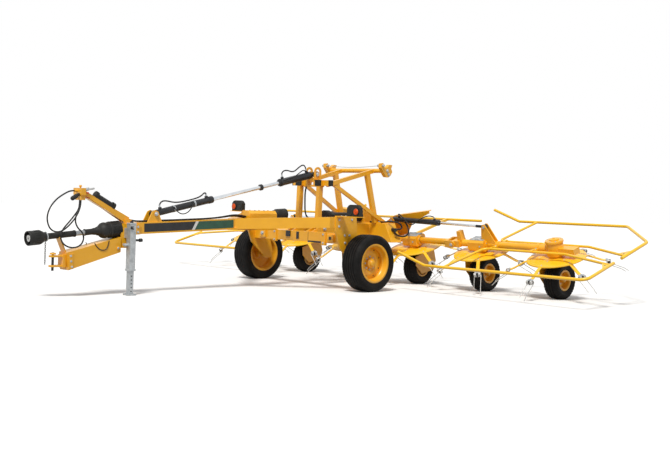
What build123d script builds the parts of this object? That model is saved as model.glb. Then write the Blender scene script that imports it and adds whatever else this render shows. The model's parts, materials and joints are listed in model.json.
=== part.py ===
from build123d import *
import math
import os

# Frame: X forward, Y to the machine's left, Z up, floor at Z 0, millimetres.
# Places along the machine are measured from the transport axle, forwards positive.
AXLE_X = -898
RUNNING_GAP = 0.06

# Transport wheels
WHEEL_RADIUS = 380
WHEEL_WIDTH = 300
TYRE_HEIGHT = 135
WHEEL_Y = 1130
STUB_RADIUS = 30

# Drawbar and its two legs
DRAWBAR_WIDTH = 150
DRAWBAR_HEIGHT = 140
DRAWBAR_FRONT_X = AXLE_X + 3140
DRAWBAR_FRONT_Z = 785
DRAWBAR_REAR_X = AXLE_X + 1380
DRAWBAR_REAR_Z = 855
BRACKET_THICK = 18
BRACKET_LOW = 560
LEG_WIDTH = 120
LEG_END_X = AXLE_X + 420
LEG_END_Z = 915
GUSSET_THICK = 24
GUSSET_DROP = 10
HOUSING_HALF_WIDTH = 95
HOUSING_LENGTH = 480
HOUSING_TOP = 1035

# Cross beam and the brackets that carry the transport wheels
CROSS_X = AXLE_X + 210
CROSS_Z = 690
CROSS_SIZE = 140
KNUCKLE_Y = 915
KNUCKLE_THICK = 26
LAMP_Y = 1200
LAMP_WIDTH = 230
LAMP_HEIGHT = 150
LAMP_DEPTH = 64
LAMP_ARM_THICK = 10
LENS_RADIUS = 46
LENS_DEPTH = 20

# Hitch tongue and clevis
TONGUE_WIDTH = 190
TONGUE_FRONT_X = AXLE_X + 3910
TONGUE_FRONT_Z = 415
TONGUE_FRONT_HEIGHT = 205
TONGUE_REAR_X = AXLE_X + 3200
TONGUE_REAR_Z = 600
TONGUE_REAR_HEIGHT = 180
PIN_X = AXLE_X + 4040
PIN_RADIUS = 16
JAW_GAP = 90
JAW_THICK = 22
JAW_RADIUS = 46
STRAP_WIDTH = 90
STRAP_THICK = 16

# Drive shaft in front, guard and yoke
SHAFT_FRONT_X = AXLE_X + 4360
SHAFT_FRONT_Z = 675
GUARD_RADIUS = 36
BELL_RADIUS = 84
BELL_LENGTH = 205
REAR_BELL_RADIUS = 100
YOKE_RADIUS = 44
YOKE_SHAFT_RADIUS = 22
YOKE_BORE_RADIUS = 17.5
YOKE_BORE_LENGTH = 80

# Drive line over the cross beam
LINE_Z = 985
LINE_RADIUS = 44
LINE_BELL_RADIUS = 84

# Jack
JACK_X = AXLE_X + 3118
JACK_Y = 185
JACK_TUBE = 80
JACK_LEG = 62
JACK_TOP = 850
JACK_SPLIT = 290
JACK_STROKE = 240
JACK_OVERLAP = 40
JACK_GAP = 0.5
FOOT_SIZE = 110
FOOT_THICK = 12

# Hose holder arm over the tongue
HOLDER_FOOT_X = AXLE_X + 3080
HOLDER_TOP_X = AXLE_X + 3730
HOLDER_TOP_Z = 1215
HOLDER_WIDTH = 60
HOLDER_DEPTH = 40
CLAMP_LOW = 1120
CAN_RADIUS = 42
CAN_START = 240
CAN_LENGTH = 290
HOSE_RADIUS = 9

# Lift frame and tower, all behind the pivot
PIVOT_X = AXLE_X
PIVOT_Z = 800
PIVOT_RADIUS = 26
PIVOT_BOSS = 62
ARM_Y = 200
ARM_WIDTH = 80
EAR_THICK = 18
EAR_GAP = 5
BOX_X = AXLE_X - 1060
BOX_LENGTH = 220
BOX_LOW = 620
BOX_TOP = 890
BOX_HALF_WIDTH = 540
BOX_FOOT_HALF = 680
TOWER_FOOT_PLATE = 16
TOWER_CROSS_X = AXLE_X + 5
TOWER_CROSS_Z = 1440
TOWER_CROSS_SIZE = 80
TOWER_CROSS_HALF = 370
TOWER_EAR_Y = 66
TOWER_EAR_THICK = 16
SADDLE_TOP = 1413
SADDLE_DEPTH = 28
FRONT_POST_LEAN = 15
FRONT_POST_X = AXLE_X + 65
REAR_POST_X = AXLE_X - 950
REAR_POST_TOP_X = AXLE_X - 765
DIAGONAL_X = AXLE_X - 105
DIAGONAL_FOOT_X = AXLE_X - 1090
TOWER_PIN_X = AXLE_X - 10
TOWER_PIN_Z = 1560
TOWER_REAR_X = AXLE_X - 905
TOWER_REAR_Z = 1650
TOWER_REAR_RADIUS = 32
TOWER_REAR_HALF = 560
HOOK_THICK = 60
LIFT_BASE_X = AXLE_X + 2690
LIFT_BASE_Z = 970
LIFT_MAX_DEG = 55

# Rotor line, tilted with its front low
BEAM_X = AXLE_X - 1520
BEAM_Z = 660
BEAM_RADIUS = 50
ROTOR_TILT_DEG = 17
ROTOR_PITCH = 1219
ROTOR_ARMS = 6
DISC_RADIUS = 390
DISC_DROP = 104
TINE_RADIUS = 885
TINE_TIP_DROP = 402
TINE_WIRE = 6
COIL_RADIUS = 30
COIL_REACH = 652
GEARBOX_LENGTH = 270
GEARBOX_DEPTH = 220
GEARBOX_LOW = 80
GEARBOX_TOP = 75
DRUM_RADIUS = 112
DRUM_TOP = 120
HINGE_Y = 1400
HINGE_RADIUS = 20
HINGE_BOSS = 46
FORK_X = 95
FORK_THICK = 20
FOLD_MAX_DEG = 88
FOLD_BASE_Y = 290
FOLD_BASE_Z = 300
FOLD_EYE_Y = 1960
FOLD_EYE_Z = 255
FOLD_ARM_X = 60
FOLD_ARM_REACH = 650
FOLD_ARM_RISE = 135
FOLD_FLANGE = 60
ROTOR_WHEEL_RADIUS = 250
ROTOR_WHEEL_WIDTH = 210
ROTOR_TYRE_HEIGHT = 125
ROTOR_STUB_RADIUS = 16
POST_RADIUS = 26
BRIDGE_THICK = 23
LEG_PLATE_THICK = 20

# Guard tubes in the rotor plane
GUARD_SIDE = 1052
GUARD_CORNER = 602
GUARD_TUBE = 20
GUARD_FRONT = 1000
GUARD_REAR = 1080
GUARD_RISE = 165
GUARD_BEND = 110
SUPPORT_TUBE = 17
SUPPORT_OFFSET = 170

# Cylinders
LIFT_BARREL_RADIUS = 42
LIFT_SPARE = 162
LIFT_ROD_RADIUS = 24
LIFT_PIN_RADIUS = 18
SECOND_BARREL_RADIUS = 50
SECOND_BARREL_LENGTH = 620
FOLD_BARREL_RADIUS = 38
FOLD_SPARE = 12
FOLD_ROD_RADIUS = 20
FOLD_PIN_RADIUS = 16
EYE_WIDTH = 40
ROD_GRIP = 40
BORE_START = 55

# Rotors from left to right: carrier, side of the wheel's plate
ROTORS = [
    dict(name="1", carrier="left", plate_side=-1),
    dict(name="2", carrier="left", plate_side=-1),
    dict(name="3", carrier="centre", plate_side=1),
    dict(name="4", carrier="centre", plate_side=-1),
    dict(name="5", carrier="right", plate_side=1),
    dict(name="6", carrier="right", plate_side=1),
]
for index, row in enumerate(ROTORS):
    row["y"] = (2.5 - index) * ROTOR_PITCH
    row["phase"] = 180 / ROTOR_ARMS * (index % 2)

# Free hoses at the hitch, (forward of the axle, y, z) along each route
HOSES = {
    "hose_long": [
        (3728, 45, CLAMP_LOW), (3728, 45, 1062), (3756, 58, 990), (3806, 77, 920), (3866, 90, 856),
        (3932, 95, 797), (4006, 95, 754), (4076, 90, 753), (4128, 80, 786), (4154, 70, 845), (4161, 60, 915), (4139, 50, 990),
        (4093, 40, 1064), (4021, 30, 1134), (3928, 14, 1187), (3842, 0, 1226), (3790, 0, 1226),
    ],
    "hose_short": [
        (3716, 12, CLAMP_LOW), (3716, 12, 1062), (3748, 26, 998), (3786, 44, 933), (3800, 58, 864),
        (3770, 66, 796), (3705, 66, 746), (3684, 66, 675), (3712, 66, 607), (3778, 66, 571), (3866, 66, 570), (3944, 66, 606),
        (3986, 66, 672), (3981, 60, 742), (3931, 44, 802), (3850, 14, 866), (3778, -14, 932),
        (3718, -26, 998), (3700, -28, 1062), (3700, -28, CLAMP_LOW),
    ],
}

WHEEL_RIM_RADIUS = WHEEL_RADIUS - TYRE_HEIGHT
ROTOR_RIM_RADIUS = ROTOR_WHEEL_RADIUS - ROTOR_TYRE_HEIGHT
TILT_SIN = math.sin(math.radians(ROTOR_TILT_DEG))
TILT_COS = math.cos(math.radians(ROTOR_TILT_DEG))
ROTOR_FRAME = Pos(BEAM_X, 0, BEAM_Z) * Rot(0, ROTOR_TILT_DEG, 0)
WHEEL_DROP = (BEAM_Z - ROTOR_WHEEL_RADIUS) / TILT_COS
LIFT_BASE = (LIFT_BASE_X, LIFT_BASE_Z)
TOWER_PIN = (TOWER_PIN_X, TOWER_PIN_Z)
FOLD_BASE = (FOLD_BASE_Y, FOLD_BASE_Z)
FOLD_EYE = (FOLD_EYE_Y, FOLD_EYE_Z)
SHAFT_FRONT = (SHAFT_FRONT_X, 0, SHAFT_FRONT_Z)
SHAFT_REAR = (DRAWBAR_FRONT_X + 40, 0, DRAWBAR_FRONT_Z)
PIN_Z = TONGUE_FRONT_Z


def frame_point(x, y, z):
    """A place in the rotor frame, given in the machine's frame."""
    return (BEAM_X + x * TILT_COS + z * TILT_SIN, y, BEAM_Z - x * TILT_SIN + z * TILT_COS)


def drawbar_z(x):
    """Height of the drawbar's middle line at a place along it."""
    share = (x - DRAWBAR_REAR_X) / (DRAWBAR_FRONT_X - DRAWBAR_REAR_X)
    return DRAWBAR_REAR_Z + share * (DRAWBAR_FRONT_Z - DRAWBAR_REAR_Z)


def drawbar_top(x):
    return drawbar_z(x) + DRAWBAR_HEIGHT / 2


def bar(start, end, width, height, up=(0, 0, 1)):
    """A rectangular bar from start to end, its width across and its height upwards."""
    along = Vector(*end) - Vector(*start)
    across = Vector(*up).cross(along)
    plane = Plane(origin=start, x_dir=across, z_dir=along)
    return extrude(plane * Rectangle(width, height), amount=along.length)


def rod(start, end, radius):
    along = Vector(*end) - Vector(*start)
    plane = Plane(origin=start, z_dir=along)
    return extrude(plane * Circle(radius), amount=along.length)


def pipe(points, radius, bend):
    """A round tube along straight runs with rounded bends."""
    path = FilletPolyline(*points, radius=bend)
    start = Plane(origin=path @ 0, z_dir=path % 0)
    return sweep(start * Circle(radius), path=path)


def plate(points, y_mid, thick):
    """A flat plate upright along the machine, from (x, z) corners."""
    outline = make_face(Polyline(*[(x, 0, z) for x, z in points], close=True))
    return Pos(0, y_mid, 0) * extrude(outline, amount=thick / 2, dir=(0, 1, 0), both=True)


def cross_plate(points, x_mid, thick):
    """A flat plate across the machine, from (y, z) corners."""
    outline = make_face(Polyline(*[(0, y, z) for y, z in points], close=True))
    return Pos(x_mid, 0, 0) * extrude(outline, amount=thick / 2, dir=(1, 0, 0), both=True)


def flat_plate(points, thick):
    outline = make_face(Polyline(*points, close=True))
    return extrude(outline, amount=thick / 2, both=True)


def block(x_span, y_span, z_span):
    size = [b - a for a, b in (x_span, y_span, z_span)]
    middle = [(a + b) / 2 for a, b in (x_span, y_span, z_span)]
    return Pos(*middle) * Box(*size)


def turned(points):
    """A ring about the Y axis from (y, radius) corners."""
    outline = make_face(Polyline(*[(0, y, r) for y, r in points], close=True))
    return revolve(outline, axis=Axis.Y)


def upright(points):
    """A ring about the Z axis from (radius, z) corners."""
    outline = make_face(Polyline(*[(r, 0, z) for r, z in points], close=True))
    return revolve(outline, axis=Axis.Z)


def other_side(shape):
    return mirror(shape, about=Plane.XZ)


def both_sides(shape):
    return shape + other_side(shape)


def tyre(radius, width, rim_radius, bead_width):
    tread = 0.82 * width / 2
    belly = width / 2
    mid = rim_radius + 0.55 * (radius - rim_radius)
    bead = bead_width / 2
    shoulder = radius - 6
    lines = [
        Line((0, -bead, rim_radius), (0, bead, rim_radius)),
        ThreePointArc((0, bead, rim_radius), (0, belly, mid), (0, tread, shoulder)),
        Line((0, tread, shoulder), (0, tread - 12, radius)),
        Line((0, tread - 12, radius), (0, -tread + 12, radius)),
        Line((0, -tread + 12, radius), (0, -tread, shoulder)),
        ThreePointArc((0, -tread, shoulder), (0, -belly, mid), (0, -bead, rim_radius)),
    ]
    return revolve(make_face(Curve() + lines), axis=Axis.Y)


def rim_ring(radius, half, lip, lip_thick, well):
    """The pressed rim between its two lips."""
    seat = radius - 0.3
    outer, inner = half + lip_thick, half - 2 * lip_thick
    return turned([
        (-outer, radius + lip), (-half, radius + lip), (-half, seat), (half, seat), (half, radius + lip),
        (outer, radius + lip), (outer, radius - 12), (inner, radius - well), (-inner, radius - well),
        (-outer, radius - 12),
    ])


def transport_wheel():
    """Tyre and steel disc wheel about the Y axis, outer face towards +Y."""
    half = 0.40 * WHEEL_WIDTH
    bore = STUB_RADIUS + RUNNING_GAP
    disc_edge = WHEEL_RIM_RADIUS - 15
    hub_radius = STUB_RADIUS + 40
    rim = rim_ring(WHEEL_RIM_RADIUS, half, 18, 14, 22)
    disc = turned([(10, bore), (10, disc_edge), (24, disc_edge), (40, disc_edge - 80), (40, hub_radius + 35),
                   (24, hub_radius + 20), (24, bore)])
    hub = turned([(-60, bore), (-60, hub_radius), (72, hub_radius), (84, hub_radius - 15), (84, bore)])
    rubber = tyre(WHEEL_RADIUS, WHEEL_WIDTH, WHEEL_RIM_RADIUS, 2 * half - 2) - rim
    return rubber, rim + [disc, hub]


def rotor_wheel():
    half = 0.36 * ROTOR_WHEEL_WIDTH
    bore = ROTOR_STUB_RADIUS + RUNNING_GAP
    disc_edge = ROTOR_RIM_RADIUS - 10
    rim = rim_ring(ROTOR_RIM_RADIUS, half, 14, 10, 14)
    disc = turned([(-6, bore), (-6, disc_edge), (6, disc_edge), (6, bore)])
    hub = turned([(-half + 6, bore), (-half + 6, bore + 18), (half - 6, bore + 18), (half - 6, bore)])
    rubber = tyre(ROTOR_WHEEL_RADIUS, ROTOR_WHEEL_WIDTH, ROTOR_RIM_RADIUS, 2 * half - 2) - rim
    return rubber, rim + [disc, hub]


def rotor(phase):
    """Turning disc, arms and sprung tines about the Z axis of the rotor frame."""
    bore = POST_RADIUS + 0.3
    collar = bore + 64
    low = DISC_DROP + 28
    disc = upright([
        (bore, -low), (bore, -DISC_DROP + 12), (collar, -DISC_DROP + 12), (collar, -DISC_DROP),
        (DISC_RADIUS, -DISC_DROP - 12), (DISC_RADIUS, -DISC_DROP - 22), (collar + 10, -DISC_DROP - 10),
        (collar, -low),
    ])
    knee = DISC_RADIUS + 8
    coil_drop = DISC_DROP + 134
    pieces = []
    for count in range(ROTOR_ARMS):
        turn = Rot(0, 0, phase + count * 360 / ROTOR_ARMS)
        arm = bar((180, 0, -DISC_DROP - 20), (knee + 4, 0, -DISC_DROP - 26), 46, 16)
        bend = bar((knee - 4, 0, -DISC_DROP - 24), (COIL_REACH - 86, 0, -coil_drop + 32), 46, 16)
        end = bar((COIL_REACH - 96, 0, -coil_drop + 34), (COIL_REACH + 3, 0, -coil_drop + 10), 46, 16)
        coil = rod((COIL_REACH, -48, -coil_drop), (COIL_REACH, 48, -coil_drop), COIL_RADIUS)
        root = -coil_drop - 6
        long_prong = rod((COIL_REACH, 40, root), (TINE_RADIUS, 40, -TINE_TIP_DROP), TINE_WIRE)
        short_prong = rod((COIL_REACH, -40, root), (TINE_RADIUS - 40, -40, -TINE_TIP_DROP + 24), TINE_WIRE)
        pieces += [turn * piece for piece in (arm, bend, end, coil, long_prong, short_prong)]
    return disc + pieces


def wheel_leg(side):
    """Post, bridge and side plate that carry a rotor's wheel, in the rotor frame."""
    bridge_top = -DISC_DROP - 33
    bridge_low = bridge_top - BRIDGE_THICK
    plate_y = ROTOR_WHEEL_WIDTH / 2 + 25 + LEG_PLATE_THICK / 2
    outer = plate_y + LEG_PLATE_THICK / 2
    hub_low = -WHEEL_DROP - 40
    post = rod((0, 0, -60), (0, 0, bridge_low), POST_RADIUS)
    bridge = block((-60, 60), sorted((side * -30, side * outer)), (bridge_low, bridge_top))
    arm = plate([(-60, bridge_top), (60, bridge_top), (55, -WHEEL_DROP + 130), (45, hub_low), (-45, hub_low),
                 (-55, -WHEEL_DROP + 130)], side * plate_y, LEG_PLATE_THICK)
    stub = rod((0, side * plate_y, -WHEEL_DROP), (0, -side * 60, -WHEEL_DROP), ROTOR_STUB_RADIUS)
    shield_top = -WHEEL_DROP + 228
    shield = plate([(-230, shield_top), (190, shield_top), (215, -WHEEL_DROP + 100), (120, -WHEEL_DROP - 60),
                    (-150, -WHEEL_DROP - 75), (-230, -WHEEL_DROP + 40)], side * (outer + 4), 8)
    return post + [bridge, arm, stub, shield]


def gearbox(y, drum):
    """Angle drive housing over one rotor, in the rotor frame."""
    half_depth, half_length = GEARBOX_DEPTH / 2, GEARBOX_LENGTH / 2
    if drum:
        body = rod((0, y, -GEARBOX_LOW), (0, y, DRUM_TOP), DRUM_RADIUS)
        body += block((-70, 70), (y, y + DRUM_RADIUS + 210), (-50, 30))
        top = DRUM_TOP
    else:
        body = block((-half_depth, half_depth), (y - half_length, y + half_length),
                     (-GEARBOX_LOW, GEARBOX_TOP))
        body = chamfer(body.edges().filter_by(Axis.Y), length=28)
        top = GEARBOX_TOP
    neck = rod((0, y, -GEARBOX_LOW), (0, y, -DISC_DROP + 13), POST_RADIUS + 59)
    cap = rod((0, y, top - 5), (0, y, top + 18), 62)
    hollow = rod((0, y, -DISC_DROP), (0, y, -50), POST_RADIUS)
    return body + [neck, cap] - hollow


def make_drawbar():
    beam = bar((DRAWBAR_REAR_X, 0, DRAWBAR_REAR_Z), (DRAWBAR_FRONT_X, 0, DRAWBAR_FRONT_Z), DRAWBAR_WIDTH,
               DRAWBAR_HEIGHT)
    top = drawbar_top(DRAWBAR_FRONT_X) - 8
    low = drawbar_z(DRAWBAR_FRONT_X) - DRAWBAR_HEIGHT / 2
    x = DRAWBAR_FRONT_X
    bracket_y = DRAWBAR_WIDTH / 2 + BRACKET_THICK / 2
    pin_x, pin_z = LIFT_BASE
    base = drawbar_top(pin_x) - 10
    pieces = []
    for side in (1, -1):
        pieces.append(plate([(x - 210, top), (x + 40, top), (x + 60, low), (x + 40, BRACKET_LOW),
                             (x - 40, BRACKET_LOW), (x - 60, low), (x - 210, low + 6)],
                            side * bracket_y, BRACKET_THICK))
        pieces.append(plate([(pin_x - 100, base), (pin_x + 120, base), (pin_x + 50, pin_z + 30),
                             (pin_x + 10, pin_z + 48), (pin_x - 35, pin_z + 30)], side * 53, 16))
    pieces.append(rod((pin_x, -70, pin_z), (pin_x, 70, pin_z), LIFT_PIN_RADIUS))
    return beam + pieces


def make_legs(drawbar):
    """Two spread legs, the plate under their fork and the drive's bearing housing on it."""
    leg = bar((DRAWBAR_REAR_X + 40, 20, DRAWBAR_REAR_Z), (LEG_END_X, KNUCKLE_Y + 20, LEG_END_Z), LEG_WIDTH,
              DRAWBAR_HEIGHT)
    floor = DRAWBAR_REAR_Z - DRAWBAR_HEIGHT / 2
    rear = DRAWBAR_REAR_X - 160 - HOUSING_LENGTH
    across = (-HOUSING_HALF_WIDTH, HOUSING_HALF_WIDTH)
    gusset = block((rear, DRAWBAR_REAR_X + 200), across, (floor - GUSSET_DROP, floor - GUSSET_DROP + GUSSET_THICK))
    housing = block((rear, rear + HOUSING_LENGTH), across, (floor, HOUSING_TOP))
    housing = chamfer(housing.edges().filter_by(Axis.X).group_by(Axis.Z)[-1], length=40)
    outside = block((LEG_END_X - 200, LEG_END_X + 200), (KNUCKLE_Y, KNUCKLE_Y + 200),
                    (LEG_END_Z - 200, LEG_END_Z + 200))
    return both_sides(leg - outside) + [gusset, housing] - drawbar


def make_knuckle():
    """Left wheel bracket with its stub axle and lamp arm."""
    top = LEG_END_Z + DRAWBAR_HEIGHT / 2 + 5
    lamp_edge = LAMP_Y + LAMP_WIDTH / 2 + 10
    side = plate([
        (LEG_END_X + 10, top), (AXLE_X + 40, top), (AXLE_X + 25, CROSS_Z + 70),
        (AXLE_X - 70, WHEEL_RADIUS + 50), (AXLE_X - 60, WHEEL_RADIUS - 60), (AXLE_X + 60, WHEEL_RADIUS - 60),
        (CROSS_X + 120, CROSS_Z - 130), (LEG_END_X + 10, top - 190),
    ], KNUCKLE_Y, KNUCKLE_THICK)
    arm = block((LEG_END_X - 120, LEG_END_X), (KNUCKLE_Y - 20, lamp_edge), (top, top + LAMP_ARM_THICK))
    stub = rod((AXLE_X, KNUCKLE_Y, WHEEL_RADIUS), (AXLE_X, WHEEL_Y + 86, WHEEL_RADIUS), STUB_RADIUS)
    return side + [arm, stub]


def make_cross_beam():
    """Beam between the wheel brackets, with the ears and pins of the lift pivot."""
    half = CROSS_SIZE / 2
    pieces = []
    for side in (1, -1):
        for offset in (-1, 1):
            y = side * (ARM_Y + offset * (ARM_WIDTH / 2 + EAR_GAP + EAR_THICK / 2))
            pieces.append(plate([
                (CROSS_X + 40, CROSS_Z + half - 5), (CROSS_X - half + 4, CROSS_Z - half),
                (PIVOT_X - 40, PIVOT_Z - 50), (PIVOT_X - 50, PIVOT_Z + 20), (PIVOT_X - 10, PIVOT_Z + 52),
                (PIVOT_X + 50, PIVOT_Z + 40),
            ], y, EAR_THICK))
        reach = ARM_WIDTH / 2 + EAR_GAP + EAR_THICK + 8
        pieces.append(rod((PIVOT_X, side * (ARM_Y - reach), PIVOT_Z), (PIVOT_X, side * (ARM_Y + reach), PIVOT_Z),
                          PIVOT_RADIUS))
    beam = block((CROSS_X - half, CROSS_X + half), (-KNUCKLE_Y, KNUCKLE_Y), (CROSS_Z - half, CROSS_Z + half))
    return beam + pieces


def make_tongue():
    front, rear = TONGUE_FRONT_HEIGHT / 2, TONGUE_REAR_HEIGHT / 2
    body = plate([(TONGUE_FRONT_X, TONGUE_FRONT_Z + front), (TONGUE_FRONT_X - 20, TONGUE_FRONT_Z - front),
                  (TONGUE_REAR_X, TONGUE_REAR_Z - rear), (TONGUE_REAR_X, TONGUE_REAR_Z + rear)],
                 0, TONGUE_WIDTH)
    strap_x = TONGUE_FRONT_X + 70
    share = (strap_x - SHAFT_REAR[0]) / (SHAFT_FRONT_X - SHAFT_REAR[0])
    cradle = SHAFT_REAR[2] + share * (SHAFT_FRONT_Z - SHAFT_REAR[2]) - 0.6 * GUARD_RADIUS
    strap = bar((TONGUE_FRONT_X - 20, 0, TONGUE_FRONT_Z + front - 30), (strap_x, 0, cradle),
                STRAP_WIDTH, STRAP_THICK, up=(1, 0, 0))
    neck = block((DRAWBAR_FRONT_X - 30, TONGUE_REAR_X + 20), (-DRAWBAR_WIDTH / 2, DRAWBAR_WIDTH / 2),
                 (BRACKET_LOW, TONGUE_REAR_Z + rear))
    return body + [strap, neck]


def make_clevis():
    pieces = []
    for side in (1, -1):
        mid = PIN_Z + side * (JAW_GAP + JAW_THICK) / 2
        span = (mid - JAW_THICK / 2, mid + JAW_THICK / 2)
        pieces.append(block((TONGUE_FRONT_X - 8, PIN_X), (-JAW_RADIUS, JAW_RADIUS), span))
        pieces.append(rod((PIN_X, 0, span[0]), (PIN_X, 0, span[1]), JAW_RADIUS))
    reach = JAW_GAP / 2 + JAW_THICK + 8
    back = block((TONGUE_FRONT_X - 8, TONGUE_FRONT_X + 30), (-JAW_RADIUS - 16, JAW_RADIUS + 16),
                 (PIN_Z - reach, PIN_Z + reach))
    bore = rod((PIN_X, 0, PIN_Z - 2 * reach), (PIN_X, 0, PIN_Z + 2 * reach), PIN_RADIUS)
    return back + pieces - bore


def make_drive_shaft():
    """Guard and turning yoke of the front drive shaft."""
    along = Vector(*SHAFT_FRONT) - Vector(*SHAFT_REAR)
    shaft = Plane(origin=SHAFT_REAR, z_dir=along)
    tip = along.length
    neck = tip - BELL_LENGTH
    wall = 8
    bore = YOKE_SHAFT_RADIUS + 0.4
    inner_end = tip - 700
    guard = upright([
        (0, 0), (REAR_BELL_RADIUS, 0), (REAR_BELL_RADIUS, 250), (0.7 * REAR_BELL_RADIUS, 330),
        (GUARD_RADIUS, 360), (GUARD_RADIUS, neck - 40), (GUARD_RADIUS + 24, neck - 15), (BELL_RADIUS, neck),
        (BELL_RADIUS, tip), (BELL_RADIUS - wall, tip), (BELL_RADIUS - wall, neck + 20), (bore, neck + 20),
        (bore, inner_end), (0, inner_end),
    ])
    mouth = tip - 10
    floor = mouth - YOKE_BORE_LENGTH
    yoke = upright([
        (YOKE_BORE_RADIUS, mouth), (YOKE_RADIUS - 6, mouth), (YOKE_RADIUS, mouth - 50),
        (YOKE_RADIUS, floor - 20), (YOKE_SHAFT_RADIUS, floor - 50), (YOKE_SHAFT_RADIUS, inner_end + 10),
        (0, inner_end + 10), (0, floor - 2), (YOKE_BORE_RADIUS, floor),
    ])
    return shaft * guard, shaft * yoke


def make_jack(drawbar, tongue):

    def column(size, low, high):
        half = size / 2
        return block((JACK_X - half, JACK_X + half), (JACK_Y - half, JACK_Y + half), (low, high))

    outer = column(JACK_TUBE, JACK_SPLIT, JACK_TOP)
    outer -= column(JACK_LEG + 2 * JACK_GAP, JACK_SPLIT - 5, JACK_TOP - 20)
    lug = block((JACK_X - 60, JACK_X + 40), (DRAWBAR_WIDTH / 2 - 5, JACK_Y - JACK_TUBE / 2 + 2),
                (JACK_TOP - 170, JACK_TOP - 50))
    inner = column(JACK_LEG, FOOT_THICK / 2, JACK_SPLIT + JACK_STROKE + JACK_OVERLAP)
    return outer + lug - [drawbar, tongue], inner + column(FOOT_SIZE, 0, FOOT_THICK)


def make_holder():
    """Arm that holds the hoses over the tongue, with its clamp and the document tube on it."""
    foot_z = drawbar_top(HOLDER_FOOT_X) - 10
    foot, top = Vector(HOLDER_FOOT_X, 0, foot_z + 30), Vector(HOLDER_TOP_X, 0, HOLDER_TOP_Z)
    arm = bar(tuple(foot), tuple(top), HOLDER_WIDTH, HOLDER_DEPTH)
    head = block((HOLDER_TOP_X - 40, HOLDER_TOP_X + 20), (-90, 90), (HOLDER_TOP_Z - 35, HOLDER_TOP_Z + 45))
    clamp = block((HOLDER_TOP_X - 45, HOLDER_TOP_X + 15), (-50, 70), (CLAMP_LOW, HOLDER_TOP_Z - 20))
    base = block((HOLDER_FOOT_X - 40, HOLDER_FOOT_X + 50), (-60, 60), (foot_z - 5, foot_z + 55))
    end = HOSES["hose_long"][-1]
    coupler = rod((HOLDER_TOP_X, 0, end[2]), (AXLE_X + end[0], 0, end[2]), HOSE_RADIUS + 4)
    along = (top - foot).normalized()
    normal = Vector(-along.Z, 0, along.X)
    start = foot + along * CAN_START + normal * (HOLDER_DEPTH / 2 + CAN_RADIUS - 1)
    can = rod(tuple(start), tuple(start + along * CAN_LENGTH), CAN_RADIUS)
    return arm + [head, clamp, base, coupler], can


def make_hose(route):
    """A hose along its route, each bend as wide as its runs allow."""
    points = [Vector(AXLE_X + x, y, z) for x, y, z in route]
    radii = []
    for before, here, after in zip(points, points[1:], points[2:]):
        turn = math.radians((here - before).get_angle(after - here))
        shorter = min((here - before).length, (after - here).length)
        radii.append(0.45 * shorter / math.tan(turn / 2))
    path = FilletPolyline(*points, radius=radii)
    start = Plane(origin=path @ 0, z_dir=path % 0)
    hose = sweep(start * Circle(HOSE_RADIUS), path=path)
    print("hose length", round(path.length), "tightest bend", round(min(radii)),
          "volume share", round(hose.volume / (path.length * math.pi * HOSE_RADIUS ** 2), 3))
    return hose


def make_chassis():
    nodes = {}
    drawbar = make_drawbar()
    knuckles = both_sides(make_knuckle())
    cross = make_cross_beam()
    tongue = make_tongue() - drawbar
    guard, yoke = make_drive_shaft()
    holder, can = make_holder()
    legs = make_legs(drawbar) - [knuckles, cross]
    tube, leg = make_jack(drawbar, tongue)
    nodes["drawbar"] = drawbar
    nodes["frame_legs"] = legs
    nodes["wheel_brackets"] = knuckles
    nodes["axle_beam"] = cross - knuckles
    nodes["hitch_tongue"] = tongue - [guard, rod(SHAFT_REAR, SHAFT_FRONT, GUARD_RADIUS)]
    nodes["hitch_clevis"] = make_clevis() - tongue
    nodes["drive_guard"] = guard - drawbar
    nodes["drive_yoke"] = yoke
    nodes["jack_tube"] = tube
    nodes["jack_leg"] = leg
    nodes["hose_holder"] = holder - drawbar
    nodes["document_tube"] = can - holder
    rear = DRAWBAR_REAR_X - 160 - HOUSING_LENGTH
    bell = Plane(origin=(rear, 0, LINE_Z), z_dir=(-1, 0, 0)) * upright([
        (0, 0), (LINE_RADIUS, 0), (LINE_BELL_RADIUS - 10, 60), (LINE_BELL_RADIUS, 220),
        (LINE_BELL_RADIUS - 8, 220), (LINE_RADIUS, 90), (0, 90),
    ])
    nodes["line_bell"] = bell
    lamp_low = LEG_END_Z + DRAWBAR_HEIGHT / 2 + 5 + LAMP_ARM_THICK
    mid_x, mid_z = LEG_END_X - 60, lamp_low + LAMP_HEIGHT / 2
    half = LAMP_DEPTH / 2
    lamp = block((mid_x - half, mid_x + half), (LAMP_Y - LAMP_WIDTH / 2, LAMP_Y + LAMP_WIDTH / 2),
                 (lamp_low, lamp_low + LAMP_HEIGHT))
    lamp = chamfer(lamp.edges().filter_by(Axis.X).group_by(Axis.Z)[-1], length=36)
    lens_y = LAMP_Y + LAMP_WIDTH / 2 - LENS_RADIUS - 8
    lenses = [rod((mid_x + way * half, lens_y, mid_z - 10), (mid_x + way * (half + LENS_DEPTH), lens_y, mid_z - 10),
                  LENS_RADIUS) for way in (1, -1)]
    nodes["lamps"] = both_sides(lamp)
    nodes["lamp_lenses"] = both_sides(Part() + lenses)
    for name, route in HOSES.items():
        nodes[name] = make_hose(route)
    return nodes


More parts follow.
